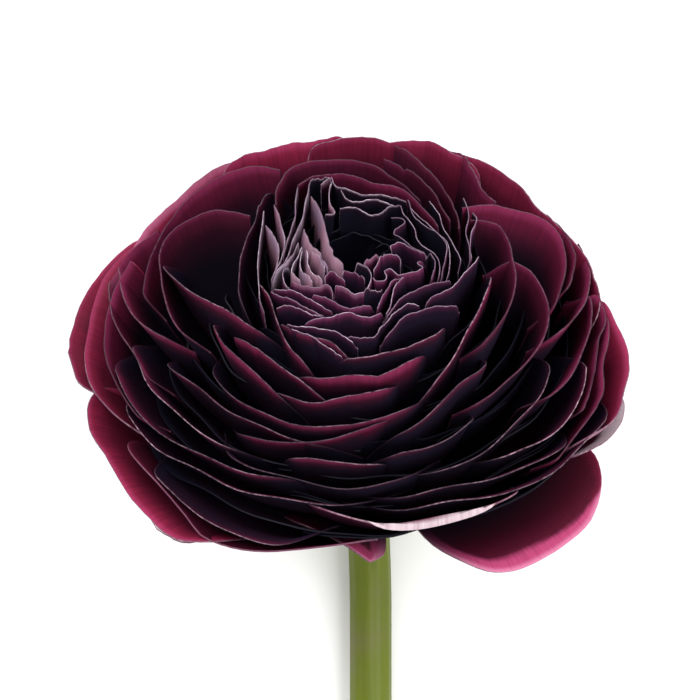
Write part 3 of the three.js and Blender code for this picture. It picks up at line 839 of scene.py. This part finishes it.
@dataclass
class OuterPetals:
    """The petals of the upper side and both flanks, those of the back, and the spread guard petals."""

    # Turn of the middle, half the width, level at the left end, the middle and the right end, and tone with its
    # painted light.
    flank: Sequence[Row] = (
        (-98, 36, 19.6, 18.7, 21.0, 0.3), (-43, 23, 17.8, 19.9, 23.8, 0.8), (-23, 17, 20.3, 20.5, 22.2, 0.4),
        (13, 23, 22.3, 21.1, 20.6, 0.3), (46, 29, 26.3, 21.9, 20.1, 0.9),
        (-1, 23, 25.4, 24.5, 23.3, 1.0), (-33, 21, 25.0, 25.0, 26.7, 0.8), (-73, 29, 30.9, 25.6, 23.1, 0.7),
        (-45, 19, 26.5, 27.1, 28.4, 0.85), (-10, 19, 28.1, 27.3, 26.1, 0.7), (26, 18, 30.9, 28.5, 26.8, 0.3),
        (-18, 34, 30.6, 31.0, 29.2, 0.5), (-14, 21, 33.7, 32.1, 30.0, 0.9), (-40, 27, 33.3, 32.1, 32.4, 0.75),
        (18, 13, 33.8, 32.7, 31.6, 0.2), (-8, 12, 35.1, 34.5, 34.3, 0.5), (38, 24, 35.5, 34.8, 33.0, 0.4),
        (-58, 23, 36.9, 36.2, 36.0, 0.5), (-12, 24, 36.4, 36.8, 36.1, 0.15), (52, 20, 36.8, 37.2, 36.2, 0.5),
        (29, 23, 37.8, 38.1, 38.9, 0.3), (-50, 31, 39.7, 38.5, 37.7, 0.5), (-36, 32, 40.5, 39.6, 38.4, 0.4),
        (37, 30, 39.1, 40.0, 40.9, 0.3), (-33, 18, 43.1, 43.5, 42.6, 0.3),
    )
    # The broad petals of both sides and the back: the tone with its painted light, then the rim.
    side: Sequence[tuple[float, Rim]] = (
        (0.3, ((-225, 13.4), (-211, 14.3), (-194, 16), (-182, 19.2), (-162, 22.1), (-153, 23.4), (-139, 20.3),
            (-122, 16.2))),
        (0.4, ((-256, 12.3), (-226, 12.3), (-211, 12.8), (-192, 12.8), (-178, 14.9), (-165, 16.9),
            (-153, 18.6), (-142, 17.5))),
        (0.25, ((109, 14.2), (122, 14.8), (134, 15.6), (148, 17.4), (158, 19.2), (172, 20.6))),
        (0.25, ((102, 15.2), (125, 16.8), (134, 17.5), (144, 18.8), (160, 23), (170, 27))),
        (0.3, ((40, 25.1), (52, 24.5), (64, 23.8), (78, 23.1), (87, 22.1), (100, 21.9), (107, 21.1),
            (110, 17))),
        (0.4, ((28, 30.6), (38, 29.9), (44, 29.5), (55, 29.5), (68, 29.3), (75, 28.7), (82, 27.3), (87, 25.5),
            (88, 20))),
        (0.3, ((-113, 19.5), (-117, 27.7), (-111, 33.7), (-96, 32.4), (-84, 31.1), (-74, 30.2), (-64, 29.4))),
        (0.6, ((-145, 23.1), (-142, 28), (-138, 31), (-131, 32.8), (-119, 35.4), (-105, 35.6), (-90, 34.8))),
        (0.7, ((-118, 37.6), (-115, 42.7), (-107, 40.6), (-96, 37.7), (-86, 35.6), (-78, 33.8), (-69, 31.6))),
        (0.8, ((-118, 45.5), (-109, 43.7), (-98, 41.1), (-86, 38.6), (-74, 36.8), (-64, 36.4))),
        (0.7, ((75, 29.2), (91, 30.3), (103, 31.8), (111, 32), (116, 30.6), (118, 27.6), (120, 20.7),
            (119, 17.1))),
        (0.6, ((87, 30.3), (97, 32.3), (105, 33.9), (112, 34.4), (119, 33))),
        (0.8, ((66, 30.4), (79, 32.1), (92, 34.2), (101, 35.8), (112, 36.4))),
        (0.8, ((50, 33.8), (60, 34.4), (74, 34.8), (85, 35.4), (96, 35))),
        (0.6, ((121, 23.7), (131, 24.4), (141, 26.6), (148, 28.9), (158, 30))),
        (0.9, ((57, 38.5), (61, 38), (65, 37.7), (70, 37.4), (76, 36.9), (81, 36.8), (89, 37.5), (94, 37),
            (99, 35.5))),
        (0.9, ((43, 40.5), (50, 39.9), (59, 39.4), (64, 39.2), (70, 38.7), (73, 37.9), (81, 37.6), (88, 37.7),
            (95, 37.4))),
        (0.8, ((-110, 39.4), (-104, 40.4), (-99, 40.9), (-94, 41.3), (-88, 41.3), (-80, 40.9), (-71, 40.4),
            (-57, 39.6))),
    )
    # The middles of the petals that fill the upper side behind the others' gaps, their levels and the turn
    # from one level's petals to the next.
    filling_turns: Row = (-52.0, 0.0, 52.0)
    filling_levels: Row = (23.5, 27.0, 30.5, 34.0, 37.0, 40.0)
    filling_step: float = 5.0
    filling_half_width: float = 40.0
    filling_hang: float = 6.0
    # First level and first turn of each whorl of three on the back, and the steps from petal to petal.
    back: Sequence[Station] = ((32.6, 132), (35.0, 139), (37.4, 130))
    back_step: float = 42.0
    back_wander: float = 6.0
    back_step_out: float = 0.8
    back_half_width: float = 31.0
    # How much farther out the left end of a back petal is than its middle, and that than the right end.
    back_slant: float = 0.6
    back_hang: float = 3.0
    flank_ends: Station = (1.45, 1.45)
    flank_tuck: Station = (7.0, 7.0)
    side_tuck: float = 5.0
    # Guard petals whose margins are blanched. That of the first is folded out.
    blanched: Sequence[Petal] = (
        Petal(rim=((-16, 38.6), (-11, 39), (-6, 39.5), (-2, 39.9), (3, 40.3), (9, 40.4), (19, 40.5),
            (29, 40.7), (38, 40.4)), cuff=1.4, apex=0.12, taper=3.8, flare=1.8),
        Petal(rim=((52, 40.2), (57, 41), (61, 41.7), (67, 42.6), (71, 42.9), (76, 42.7), (79, 42.3),
            (82, 41)), hang=4, flare=5.0),
        Petal(rim=((-47, 45.9), (-42, 46.4), (-38, 46.4), (-34, 45.9)), flare=2.0),
    )
    # The other guard petals: those along rims that are seen, the turn, half width, levels and hang of those
    # behind them, and the two that droop.
    guard: Sequence[Petal] = (
        Petal(rim=((-139, 51.5), (-129, 51.8), (-123, 50.9), (-115, 50.7), (-109, 50.1), (-104, 48.8),
            (-98, 48.1), (-91, 46.8), (-83, 45.3), (-76, 43))),
        Petal(rim=((-137, 50), (-131, 50), (-121, 48.3), (-110, 46), (-101, 44.9), (-93, 44.4), (-86, 44.1),
            (-79, 43.4), (-71, 42.4), (-57, 41))),
        Petal(rim=((-84, 43), (-77, 44.6), (-72, 45.3), (-61, 45.3), (-51, 45.6), (-45, 45.8), (-38, 46),
            (-33, 45.3), (-26, 44.5))),
        Petal(rim=((-66, 42.8), (-51, 42.9), (-44, 43.5), (-39, 44.2), (-33, 45.3), (-28, 45.2), (-22, 44.5),
            (-15, 43.5), (-4, 42.3), (3, 41.5)), tone=0.1),
        Petal(rim=((48, 40), (55, 40.7), (59, 41.2), (64, 41.8), (69, 42), (73, 41.7), (82, 41.2), (86, 40.6),
            (89, 39.6), (93, 38.2), (102, 37)), tone=0.7),
        Petal(rim=((86, 36.6), (93, 36.9), (99, 36.9), (105, 36.7), (108, 36.1), (111, 35.2), (115, 33.8),
            (121, 32), (128, 32.2), (132, 31.6), (137, 31), (142, 30.5), (148, 30), (154, 29.6), (161, 29.4)),
            tone=0.3, tuck=(0.0, 4.0)),
        Petal(rim=((136, 29.8), (145, 28.8), (151, 28.4), (156, 28.8), (160, 29.4), (165, 28.6), (170, 27.8),
            (177, 28.5), (182, 29.4), (191, 29.8), (197, 30.2), (203, 30.4)), tone=0.3, tuck=(4.0, 4.0)),
        Petal(rim=((-178, 31), (-168, 30.4), (-161, 30), (-155, 30.4), (-150, 31), (-146, 33), (-143, 35),
            (-136, 37)), tone=0.5, tuck=(4.0, 4.0)),
        Petal(rim=((-154, 33.4), (-146, 35.6), (-142, 38.8), (-137, 40.2), (-132, 41.4), (-126, 41.6),
            (-120, 42), (-112, 42.4)), tone=0.65, tuck=(4.0, 0.0), flare=1.5),
    )
    guard_behind: Sequence[Row] = (
        (-152, 36, 43.4, 42.4, 41.6, 3), (162, 36, 42.4, 41.6, 40.8, 3), (122, 30, 40.4, 40.0, 39.4, 4),
        (134, 32, 42.4, 42.2, 42.0, 4), (180, 34, 46.8, 47.0, 46.8, 0), (-142, 36, 46.6, 46.0, 45.6, 0),
    )
    drooping: Sequence[Petal] = (
        Petal(-14.7, 21.5, (40.7, 39.5, 42.4), drop=0.705, apex=0.71, hang=8, fullness=1.3, flare=14, taper=3,
            tone=0.3, curl=0),
        Petal(50.4, 33.4, (44.4, 46.2, 45.7), drop=0.8, apex=-0.43, hang=10, fullness=4, flare=5.5, taper=1.7,
            tone=0.3, curl=0),
    )

    def flank_petals(self) -> list[Petal]:
        """The petals of the upper side and both flanks."""
        return [
            Petal(r[0], r[1], tuple(r[2:5]), tone=r[5], ends=self.flank_ends, tuck=self.flank_tuck, seed=i)
            for i, r in enumerate(self.flank)
        ]

    def filling_petals(self) -> list[Petal]:
        """Lower petals, dark all over with painted shade, so that no gap of the upper side is seen through."""
        plain = Petal(half_width=self.filling_half_width, tone=0.0, hang=self.filling_hang)
        return [
            replace(
                plain, turn=turn + self.filling_step * w, levels=(level,) * 3, seed=FILLING_SEED + 3 * w + i
            )
            for w, level in enumerate(self.filling_levels)
            for i, turn in enumerate(self.filling_turns)
        ]

    def side_petals(self) -> list[Petal]:
        """The broad petals of both sides and the back."""
        return [
            along(rim, self.side_tuck, tone=tone, fade=0.3, wave=0.3, seed=SIDE_SEED + i)
            for i, (tone, rim) in enumerate(self.side)
        ]

    def back_petals(self) -> list[Petal]:
        """The petals of the side that faces the surface, in whorls of three."""
        plain = Petal(
            half_width=self.back_half_width, tone=0.6, fade=0.3, drop=0.2, fullness=8.0, hang=self.back_hang
        )
        petals = []
        for w, (first, first_turn) in enumerate(self.back):
            for i in range(3):
                turn = first_turn + self.back_step * i + self.back_wander * draw(w * 5 + i)
                level = first + self.back_step_out * i
                levels = (level + self.back_slant, level, level - self.back_slant)
                petals.append(replace(plain, turn=turn, levels=levels, seed=BACK_SEED + w * 5 + i))
        return petals

    def guard_petals(self) -> list[Petal]:
        """The outermost petals, spread wide. Those along a rim have square ends."""
        shown = [replace(petal, drop=0.4, fullness=14.0, wave=0.3) for petal in self.guard]
        behind = [
            Petal(r[0], r[1], tuple(r[2:5]), hang=r[5], drop=0.5, fullness=5.0) for r in self.guard_behind
        ]
        spread = [replace(petal, wave=0.4) for petal in (*behind, *self.drooping)]
        return [
            replace(petal, uneven=0.5, fade=0.2, seed=GUARD_SEED + i)
            for i, petal in enumerate((*shown, *spread))
        ]

    def blanched_petals(self) -> list[Petal]:
        """The guard petals whose margins are blanched."""
        shared = {"drop": 0.14, "fullness": 12.0, "tuck": (3.0, 3.0), "wave": 0.3, "curl": 0.0}
        return [replace(petal, **shared, seed=BLANCHED_SEED + i) for i, petal in enumerate(self.blanched)]

    def build(self) -> list[bpy.types.Object]:
        """Makes the beds of outer petals."""
        dark = (Skins.FLANK_OUTER, Skins.FLANK_INNER, Skins.DARK_RIM)
        soft = (Skins.FLANK_OUTER, Skins.BACK_INNER, Skins.BACK_RIM)
        spread = (Skins.SPREAD_OUTER, Skins.SPREAD_INNER, Skins.PALE_RIM)
        blanched = (Skins.BLANCHED, Skins.BLANCHED_INNER, Skins.PALE_RIM)
        pieces = [
            PetalBed("flank_petals", self.flank_petals(), dark, thickness=0.15).build(),
            PetalBed("hidden_petals", self.filling_petals(), SHADED_FILLING_SKINS).build(),
            PetalBed("back_petals", self.side_petals() + self.back_petals(), soft).build(),
            PetalBed("guard_petals", self.guard_petals(), spread).build(),
            PetalBed("blanched_petals", self.blanched_petals(), blanched).build(),
        ]
        for piece in pieces:
            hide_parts("outer_petals")
        return pieces


@dataclass
class Heart:
    """The small frilled petals round the hollow, and the carpels at its bottom."""

    # Each petal's tone with its painted light, and its rim.
    rims: Sequence[tuple[float, Rim]] = (
        (0.75, ((-123, 16.9), (-108, 12.6), (-88, 10.8), (-72, 12.4), (-64, 14.9), (-61, 16.6))),
        (0.85, ((-104, 15.5), (-95, 13.2), (-79, 12.5), (-67, 14.1), (-60, 16.9))),
        (0.75, ((-143, 17.7), (-131, 13.3), (-119, 10.6), (-100, 10.0), (-81, 10.9), (-70, 12.5))),
        (0.8, ((-148, 16.6), (-138, 11.9), (-122, 9.2), (-98, 8.9), (-78, 10.0), (-66, 12.3), (-63, 14.8),
            (-61, 16.6))),
        (1, ((-143, 12.2), (-141, 8.3), (-121, 4.9), (-58, 4.0), (-26, 5.3), (-8, 6.7))),
        (0.95, ((-106, 8.0), (-86, 6.6), (-62, 6.1), (-37, 6.9), (-27, 8.3))),
        (0.85, ((-88, 8.1), (-72, 9.8), (-65, 11.8), (-63, 14.0), (-59, 16.8))),
        (0.8, ((-78, 7.8), (-66, 9.5), (-59, 11.5), (-54, 12.5), (-47, 12.6), (-42, 12.5))),
        (0.8, ((-72, 8.0), (-58, 9.7), (-47, 10.7), (-36, 11.9), (-34, 12.5))),
        (0.85, ((-74, 7.5), (-53, 8.6), (-40, 9.7), (-30, 10.6), (-26, 11.5))),
        (0.8, ((-67, 7.3), (-55, 6.5), (-39, 7.1), (-30, 9.0))),
        (0.2, ((-59, 11.9), (-61, 13.4), (-57, 14.4), (-51, 14.9), (-45, 15.2))),
        (0.6, ((-51, 14.4), (-43, 13.3), (-34, 12.5), (-22, 11.2), (-19, 12.2), (-19, 13.5))),
        (0.42, ((-58, 17.1), (-52, 16.3), (-40, 14.8), (-33, 15.0), (-24, 15.2), (-16, 16.2))),
        (0.38, ((-57, 17.9), (-49, 17.3), (-38, 16.3), (-30, 16.6), (-20, 17.0))),
        (0.25, ((-47, 19.4), (-44, 18.5), (-38, 17.2), (-32, 17.1), (-26, 17.1), (-21, 17.3))),
        (0.5, ((-34, 14.6), (-24, 13.5), (-14, 14.1), (-5, 14.7), (2, 14.3), (8, 14.2))),
        (0.5, ((-31, 19.4), (-27, 18.2), (-19, 16.9), (-13, 15.7), (-7, 15.4), (-2, 15.8), (5, 16.1),
            (12, 15.5))),
        (0.2, ((-38, 20.5), (-32, 19.8), (-25, 19.1), (-18, 18.8), (-10, 19.6), (-4, 20.5))),
        (0.5, ((-24, 10.9), (-27, 9.6), (-26, 8.0), (-19, 8.0), (-12, 9.3), (-7, 10.1))),
        (0.6, ((-18, 12.1), (-15, 10.8), (-8, 11.3), (-4, 12.0), (3, 11.6), (11, 10.2), (19, 8.2), (17, 6.7),
            (7, 5.5), (-3, 5.9))),
        (0.6, ((13, 6.3), (24, 5.0), (40, 4.8), (48, 5.8), (60, 6.1))),
        (0.3, ((-12, 8.4), (-8, 7.1), (0, 7.3), (7, 8.5), (9, 9.9))),
        (0.5, ((19, 8.0), (19, 9.5), (25, 9.8), (31, 9.1), (33, 8.2), (40, 8.4), (40, 10.2), (46, 11.3),
            (52, 11.9), (59, 11.5), (60, 10.8), (69, 11.4))),
        (0.5, ((23, 7.7), (32, 6.2), (46, 6.0), (57, 6.8), (59, 7.9), (50, 9.4))),
        (0.4, ((64, 6.5), (75, 5.9), (82, 6.7), (80, 8.1), (72, 9.7), (71, 11.2))),
        (0.2, ((74, 11.4), (76, 9.6), (88, 7.7), (102, 6.6), (110, 7.1), (116, 8.6), (124, 8.6), (131, 7.7))),
        (0.25, ((53, 14.2), (67, 13.1), (74, 12.2), (80, 10.8), (91, 9.9), (106, 9.5), (123, 9.2),
            (136, 10.2))),
        (0.2, ((54, 14.6), (63, 13.9), (75, 13.5), (87, 13.2), (97, 12.0), (105, 10.8), (119, 10.3),
            (138, 11.7))),
        (0.2, ((59, 14.8), (74, 13.9), (88, 13.3), (98, 12.1), (113, 11.1), (131, 11.1))),
        (0.15, ((71, 15.6), (78, 14.9), (89, 13.9), (105, 13.1), (117, 13.5), (130, 13.7))),
        (0.5, ((51, 13.4), (63, 12.7), (71, 12.1), (76, 11.2))),
        (0.55, ((73, 16.4), (85, 16.0), (99, 15.8), (116, 17.6), (125, 18.3))),
        (0.6, ((76, 16.6), (87, 16.1), (98, 16.4), (111, 18.1), (116, 18.3))),
        (0.65, ((-222, 11.5), (-213, 11.2), (-205, 10.7), (-190, 10.0), (-175, 11.3), (-164, 12.7),
            (-161, 15.3))),
        (0.65, ((-219, 9.7), (-213, 9.5), (-203, 9.4), (-189, 8.6), (-175, 9.0), (-168, 11.3))),
        (0.6, ((-224, 10.1), (-217, 9.2), (-216, 7.5), (-204, 6.4), (-178, 7.0), (-163, 7.0))),
        (1, ((-154, 14.6), (-160, 15.8), (-157, 10.7), (-155, 8.6), (-154, 6.8), (-144, 7.2))),
        (0.4, ((-159, 15.9), (-153, 16.8), (-148, 16.6))),
        (0.5, ((7, 15.2), (12, 13.6), (22, 11.8), (33, 10.7), (44, 11.0))),
        (0.35, ((10, 16.2), (15, 14.9), (22, 12.9), (32, 11.6), (43, 11.4))),
        (0.2, ((9, 16.9), (20, 14.5), (34, 13.6), (46, 14.1), (56, 15.1), (59, 16.1))),
        (0.15, ((4, 19.1), (9, 17.3), (18, 15.6), (26, 15.4), (32, 16.5))),
        (0.25, ((32, 16.5), (39, 15.7), (48, 16.0), (58, 16.2), (71, 16.6), (84, 17.4))),
        (0.2, ((6, 20.1), (13, 18.2), (21, 16.7), (30, 16.8), (39, 17.0), (49, 19.2))),
        (0.1, ((-10, 19.6), (-4, 19.6), (1, 19.4), (5, 18.8), (7, 17.6))),
        (0.05, ((4, 11.5), (12, 11.3), (19, 11.8))),
        (0.6, ((-115, 17.4), (-104, 16.3), (-89, 16.2), (-75, 17.0), (-60, 18.8), (-53, 20.4))),
        (0.25, ((-35, 20.5), (-29, 20.4), (-23, 20.5), (-15, 21.6), (-8, 22.6))),
    )
    # Whorls of plain petals, dark all over with painted shade, below the others' rims, so that no gap is seen
    # through.
    filling_levels: Row = (7.5, 9.5, 12.0, 14.5, 17.0, 20.0)
    filling_petals: int = 4
    filling_step: float = 17.0
    filling_half_width: float = 52.0
    # How much farther out the left end of such a petal is than its middle, and that than the right end.
    filling_slant: float = 0.8
    filling_hang: float = 4.5
    tuck: float = 2.0
    # How much farther down the painted lit band and highlight of the steepest petals spread, and how far to
    #     the left steepness begins and is greatest, as sines of their turns.
    steep_spread: float = 7.0
    steep_range: Station = (0.6, 0.95)
    # The cone under the carpels: its radius, half its height and its middle's height.
    cone_radius: float = 3.6
    cone_half_height: float = 4.4
    cone_middle: float = -4.6
    carpel_count: int = 60
    # How far out the lowest carpels stand, how high the top one stands, and how far and how steeply they fall
    # from it.
    carpel_out: float = 3.4
    carpel_top: float = -0.2
    carpel_fall: float = 3.6
    carpel_fall_power: float = 2.4
    # A carpel's half width and half length, and how much thinner it is at its beak's tip, in millimetres.
    carpel_width: float = 0.5
    carpel_length: float = 0.9
    beak_taper: float = 0.42

    def shown_petals(self) -> list[Petal]:
        """The petals whose rims are seen. Those on the left face the light and are seen steeply, so their
        painted lit band and highlight spread farther down.
        """
        petals = []
        for i, (tone, rim) in enumerate(self.rims):
            middle = math.radians((rim[0][0] + rim[-1][0]) / 2)
            steepness = float(smoothstep(-math.sin(middle), *self.steep_range))
            petal = along(rim, self.tuck, tone=tone, uneven=0.4, fade=0.5, curl=0.1, wave=0.2)
            petals.append(replace(petal, spread=1 + self.steep_spread * steepness, seed=HEART_SEED + i))
        return petals

    def hidden_petals(self) -> list[Petal]:
        """The petals behind them."""
        plain = Petal(half_width=self.filling_half_width, tone=0.05, hang=self.filling_hang, pale=0.1)
        petals = []
        for w, level in enumerate(self.filling_levels):
            levels = (level + self.filling_slant, level, level - self.filling_slant)
            for i in range(self.filling_petals):
                turn = self.filling_step * w + 360 / self.filling_petals * i
                petals.append(replace(plain, turn=turn, levels=levels, seed=HEART_FILLING_SEED + 5 * w + i))
        return petals

    def carpels(self) -> bpy.types.Object:
        """The cone of small beaked fruits."""
        bm = bmesh.new()
        turned = BLOOM.matrix()
        core = bmesh.ops.create_uvsphere(bm, u_segments=24, v_segments=16, radius=1.0)["verts"]
        for vert in core:
            up = self.cone_middle + self.cone_half_height * vert.co.z
            vert.co = turned @ Vector((self.cone_radius * vert.co.x, up, self.cone_radius * vert.co.y))
        for i in range(self.carpel_count):
            lean = math.sqrt((i + 0.5) / self.carpel_count)
            out = self.carpel_out * lean
            up = self.carpel_top - self.carpel_fall * lean**self.carpel_fall_power
            angle = math.radians(GOLDEN_TURN) * i
            foot = Vector((math.sin(angle) * out, up, math.cos(angle) * out))
            grows = Vector((math.sin(angle) * lean, 1.0 - 0.5 * lean, math.cos(angle) * lean)).normalized()
            spot = turned @ Matrix.Translation(foot) @ grows.to_track_quat("Z", "Y").to_matrix().to_4x4()
            fruit = bmesh.ops.create_icosphere(bm, subdivisions=2, radius=1.0)["verts"]
            for vert in fruit:
                beak = max(0.0, vert.co.z) ** 3
                wide = self.carpel_width - self.beak_taper * beak
                x, y, z = vert.co
                vert.co = spot @ Vector((x * wide, y * wide, self.carpel_length * z + beak))
        piece = finished("carpel_cone", bm, [Skins.CARPEL])
        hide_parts("carpels")
        return piece

    def build(self) -> list[bpy.types.Object]:
        """Makes the inner and the outer heart petals and the carpels."""
        shown = (Skins.HEART_OUTER, Skins.HEART_INNER, Skins.HEART_RIM)
        pieces = [
            PetalBed(
                "heart_petals_inner", self.shown_petals(), shown, columns=64, rows=14, thickness=0.12
            ).build(),
            PetalBed(
                "heart_petals_outer", self.hidden_petals(), SHADED_FILLING_SKINS, rows=12, thickness=0.15
            ).build(),
        ]
        for piece in pieces:
            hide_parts("heart_petals")
        return [*pieces, self.carpels()]


@dataclass
class Greens:
    """The stem with the receptacle that carries the petals, and the sepals under the bloom."""

    sides: int = 48
    rib_count: int = 11
    rib_height: float = 0.07
    # Between which distances along the stem its ribs rise.
    ribs_begin: Station = (14.0, 24.0)
    # The step from ring to ring on the receptacle, where that ends, and the step on the stem below it.
    ring_steps: Row = (0.6, 24.0, 1.2)
    # Depths along the bloom's axis that the stem passes, then its points after it has left the axis.
    axis_depths: Row = (9.8, 20.0, 29.0, 33.0)
    route: Sequence[Row] = (
        (0.3, -53.6, 7.6), (0.7, -60.4, 4.5), (0.9, -69.4, 3.4), (0.9, -82, 3.2), (1.2, -106, 3.2),
        (2.6, -141, 3.2), (5.0, -175, 3.2),
    )
    # Radius against the depth along the bloom's axis, from the receptacle's top down to the stem.
    receptacle: Rim = (
        (9.8, 0.6), (10.6, 2.4), (15.0, 4.4), (21.3, 8.0), (22.8, 7.9), (24.2, 6.4), (26.6, 3.9),
        (29.0, 3.45), (33.0, 3.45),
    )
    # The cut end's rings as shares of the stem's width, and how deep they lie, down to its hollow pith.
    cut_rings: Sequence[Station] = ((0.93, 0.0), (0.66, 0.2), (0.36, 0.5), (0.3, 2.4))
    # The lowest that the stem's skin lies.
    floor: float = 0.05
    sepal_count: int = 5
    sepal_level: float = 52.0
    sepal_reach: float = 0.22
    sepal_half_width: float = 27.0
    sepal_drop: float = 0.14
    sepal_fullness: float = 1.7
    sepal_first_turn: float = 45.0

    @staticmethod
    def grow(bm: bmesh.types.BMesh, edges: Sequence[bmesh.types.BMEdge]) -> tuple[list, list]:
        """Extrudes a ring.

        Args:
            bm: The mesh.
            edges: The ring's edges.

        Returns:
            The new ring's edges and vertices.
        """
        grown = bmesh.ops.extrude_edge_only(bm, edges=edges)["geom"]
        kinds = (bmesh.types.BMEdge, bmesh.types.BMVert)
        return tuple([item for item in grown if isinstance(item, kind)] for kind in kinds)

    def stem(self) -> bpy.types.Object:
        """The stem, swept ring by ring from the receptacle's top to the cut end."""
        top = self.receptacle[0][0]
        zero = np.zeros(1)
        axis = [BLOOM.place(zero, zero, np.array([-depth]))[0] for depth in self.axis_depths]
        points = np.array([*axis, *self.route])
        walked = np.concatenate([[0.0], np.cumsum(np.linalg.norm(np.diff(points, axis=0), axis=1))])
        course = [Profile(list(zip(walked, points[:, i]))) for i in range(3)]
        thick = Profile([(depth - top, radius) for depth, radius in self.receptacle])
        fine, below, coarse = self.ring_steps
        stations = [*np.arange(0.0, below, fine), *np.arange(below, walked[-1], coarse), walked[-1]]
        bm = bmesh.new()
        ring = bmesh.ops.create_circle(bm, segments=self.sides, radius=1.0)["verts"]
        angles = [math.atan2(v.co.y, v.co.x) for v in ring]
        first = edges = list(bm.edges)
        for number, at in enumerate(stations):
            middle = Vector([float(curve(at)) for curve in course])
            ahead = Vector([float(curve(at + 0.2) - curve(at - 0.2)) for curve in course]).normalized()
            side = (Vector((1.0, 0.0, 0.0)) - ahead * ahead.x).normalized()
            over = side.cross(ahead)
            if number:
                edges, ring = self.grow(bm, edges)
            for vert, angle in zip(ring, angles):
                rib = self.rib_height * math.cos(self.rib_count * angle + 0.6 * math.sin(2 * angle))
                wide = float(thick(at)) + rib * float(smoothstep(at, *self.ribs_begin))
                vert.co = middle + (side * math.cos(angle) + over * math.sin(angle)) * wide
                vert.co.z = max(vert.co.z, self.floor)
        bmesh.ops.edgeloop_fill(bm, edges=[e for e in first if e.is_valid and e.is_boundary])
        grown_skin = set(bm.faces)
        outline = [vert.co.copy() for vert in ring]
        for share, depth in self.cut_rings:
            edges, ring = self.grow(bm, edges)
            for vert, outer in zip(ring, outline):
                vert.co = middle + (outer - middle) * share - ahead * depth
        bmesh.ops.edgeloop_fill(bm, edges=edges)
        bmesh.ops.recalc_face_normals(bm, faces=bm.faces)
        for face in bm.faces:
            face.material_index = int(face not in grown_skin)
        piece = finished("stem_and_receptacle", bm, [Skins.STEM, Skins.CUT])
        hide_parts("stem")
        return piece

    def sepals(self) -> bpy.types.Object:
        """The five sepals."""
        plain = Petal(
            half_width=self.sepal_half_width, levels=(self.sepal_level,) * 3, tone=0.5, start=0.0,
            reach=self.sepal_reach, drop=self.sepal_drop, fullness=self.sepal_fullness, uneven=0.3, curl=0.0,
        )
        sepals = [
            replace(plain, turn=self.sepal_first_turn + 360 / self.sepal_count * i, seed=SEPAL_SEED + i)
            for i in range(self.sepal_count)
        ]
        skins = (Skins.SEPAL, Skins.SEPAL, Skins.SEPAL)
        piece = PetalBed("sepals_green", sepals, skins, columns=24, rows=16, thickness=0.5).build()
        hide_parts("sepals")
        return piece

    def build(self) -> list[bpy.types.Object]:
        """Makes the stem and the sepals."""
        return [self.stem(), self.sepals()]


@dataclass(frozen=True)
class Lamp:
    """A square lamp that faces the bloom, in metres and watts."""

    name: str
    place: Row
    size: float
    power: float

    def light(self) -> None:
        """Hangs it up."""
        data = bpy.data.lights.new(self.name, "AREA")
        data.size = self.size
        data.energy = self.power
        lamp = bpy.data.objects.new(self.name, data)
        lamp.location = self.place
        aim = Vector(BLOOM_MIDDLE) * MM - Vector(self.place)
        lamp.rotation_euler = aim.to_track_quat("-Z", "Y").to_euler()
        bpy.context.scene.collection.objects.link(lamp)


@dataclass
class Studio:
    """A pale floor, soft light from above and the camera that looks straight down."""

    # The camera's place, its lens and its sensor in millimetres, and how near and far it sees in metres.
    camera_place: Row = (-2.51, -26.26, 534.0)
    lens: float = 163.8
    sensor: float = 36.0
    clip: Station = (0.01, 50.0)
    floor_size: float = 6.0
    floor_colour: str = "#f7f7f7"
    floor_roughness: float = 0.9
    sky: float = 1.0
    lamps: Sequence[Lamp] = (
        Lamp("key_lamp", (-0.3, 0.35, 0.8), 0.5, 5.0),
        Lamp("fill_lamp", (0.5, -0.1, 0.7), 0.6, 5.0),
    )

    def camera(self) -> None:
        """The camera, which sees +Y upwards."""
        data = bpy.data.cameras.new("camera")
        data.lens = self.lens
        data.sensor_width = self.sensor
        data.clip_start, data.clip_end = self.clip
        camera = bpy.data.objects.new("camera", data)
        camera.location = Vector(self.camera_place) * MM
        bpy.context.scene.collection.objects.link(camera)
        bpy.context.scene.camera = camera

    def light(self) -> None:
        """The sky and the lamps."""
        world = bpy.data.worlds.new("studio_sky")
        world.use_nodes = True
        background = world.node_tree.nodes["Background"]
        background.inputs["Color"].default_value = (1.0, 1.0, 1.0, 1.0)
        background.inputs["Strength"].default_value = self.sky
        bpy.context.scene.world = world
        for lamp in self.lamps:
            lamp.light()

    def floor(self) -> None:
        """The pale floor."""
        bm = bmesh.new()
        bmesh.ops.create_grid(bm, x_segments=1, y_segments=1, size=self.floor_size / 2)
        mesh = bpy.data.meshes.new("floor")
        bm.to_mesh(mesh)
        bm.free()
        material = bpy.data.materials.new("floor_paper")
        material.use_nodes = True
        shader = material.node_tree.nodes["Principled BSDF"]
        shader.inputs["Base Color"].default_value = linear(self.floor_colour)
        shader.inputs["Roughness"].default_value = self.floor_roughness
        shader.inputs["Specular IOR Level"].default_value = 0.0
        mesh.materials.append(material)
        floor = bpy.data.objects.new("floor", mesh)
        bpy.context.scene.collection.objects.link(floor)

    def build(self) -> None:
        """Sets the stage."""
        self.camera()
        self.light()
        self.floor()
        bpy.context.scene.view_settings.view_transform = "Standard"


def main() -> None:
    """Builds the flower and its stage."""
    logging.basicConfig(level=logging.INFO, format="%(name)s: %(message)s")
    Studio().build()
    for part in (OuterPetals(), Heart(), Greens()):
        for piece in part.build():
            LOG.info("made %s", piece.name)


if __name__ == "__main__":
    main()
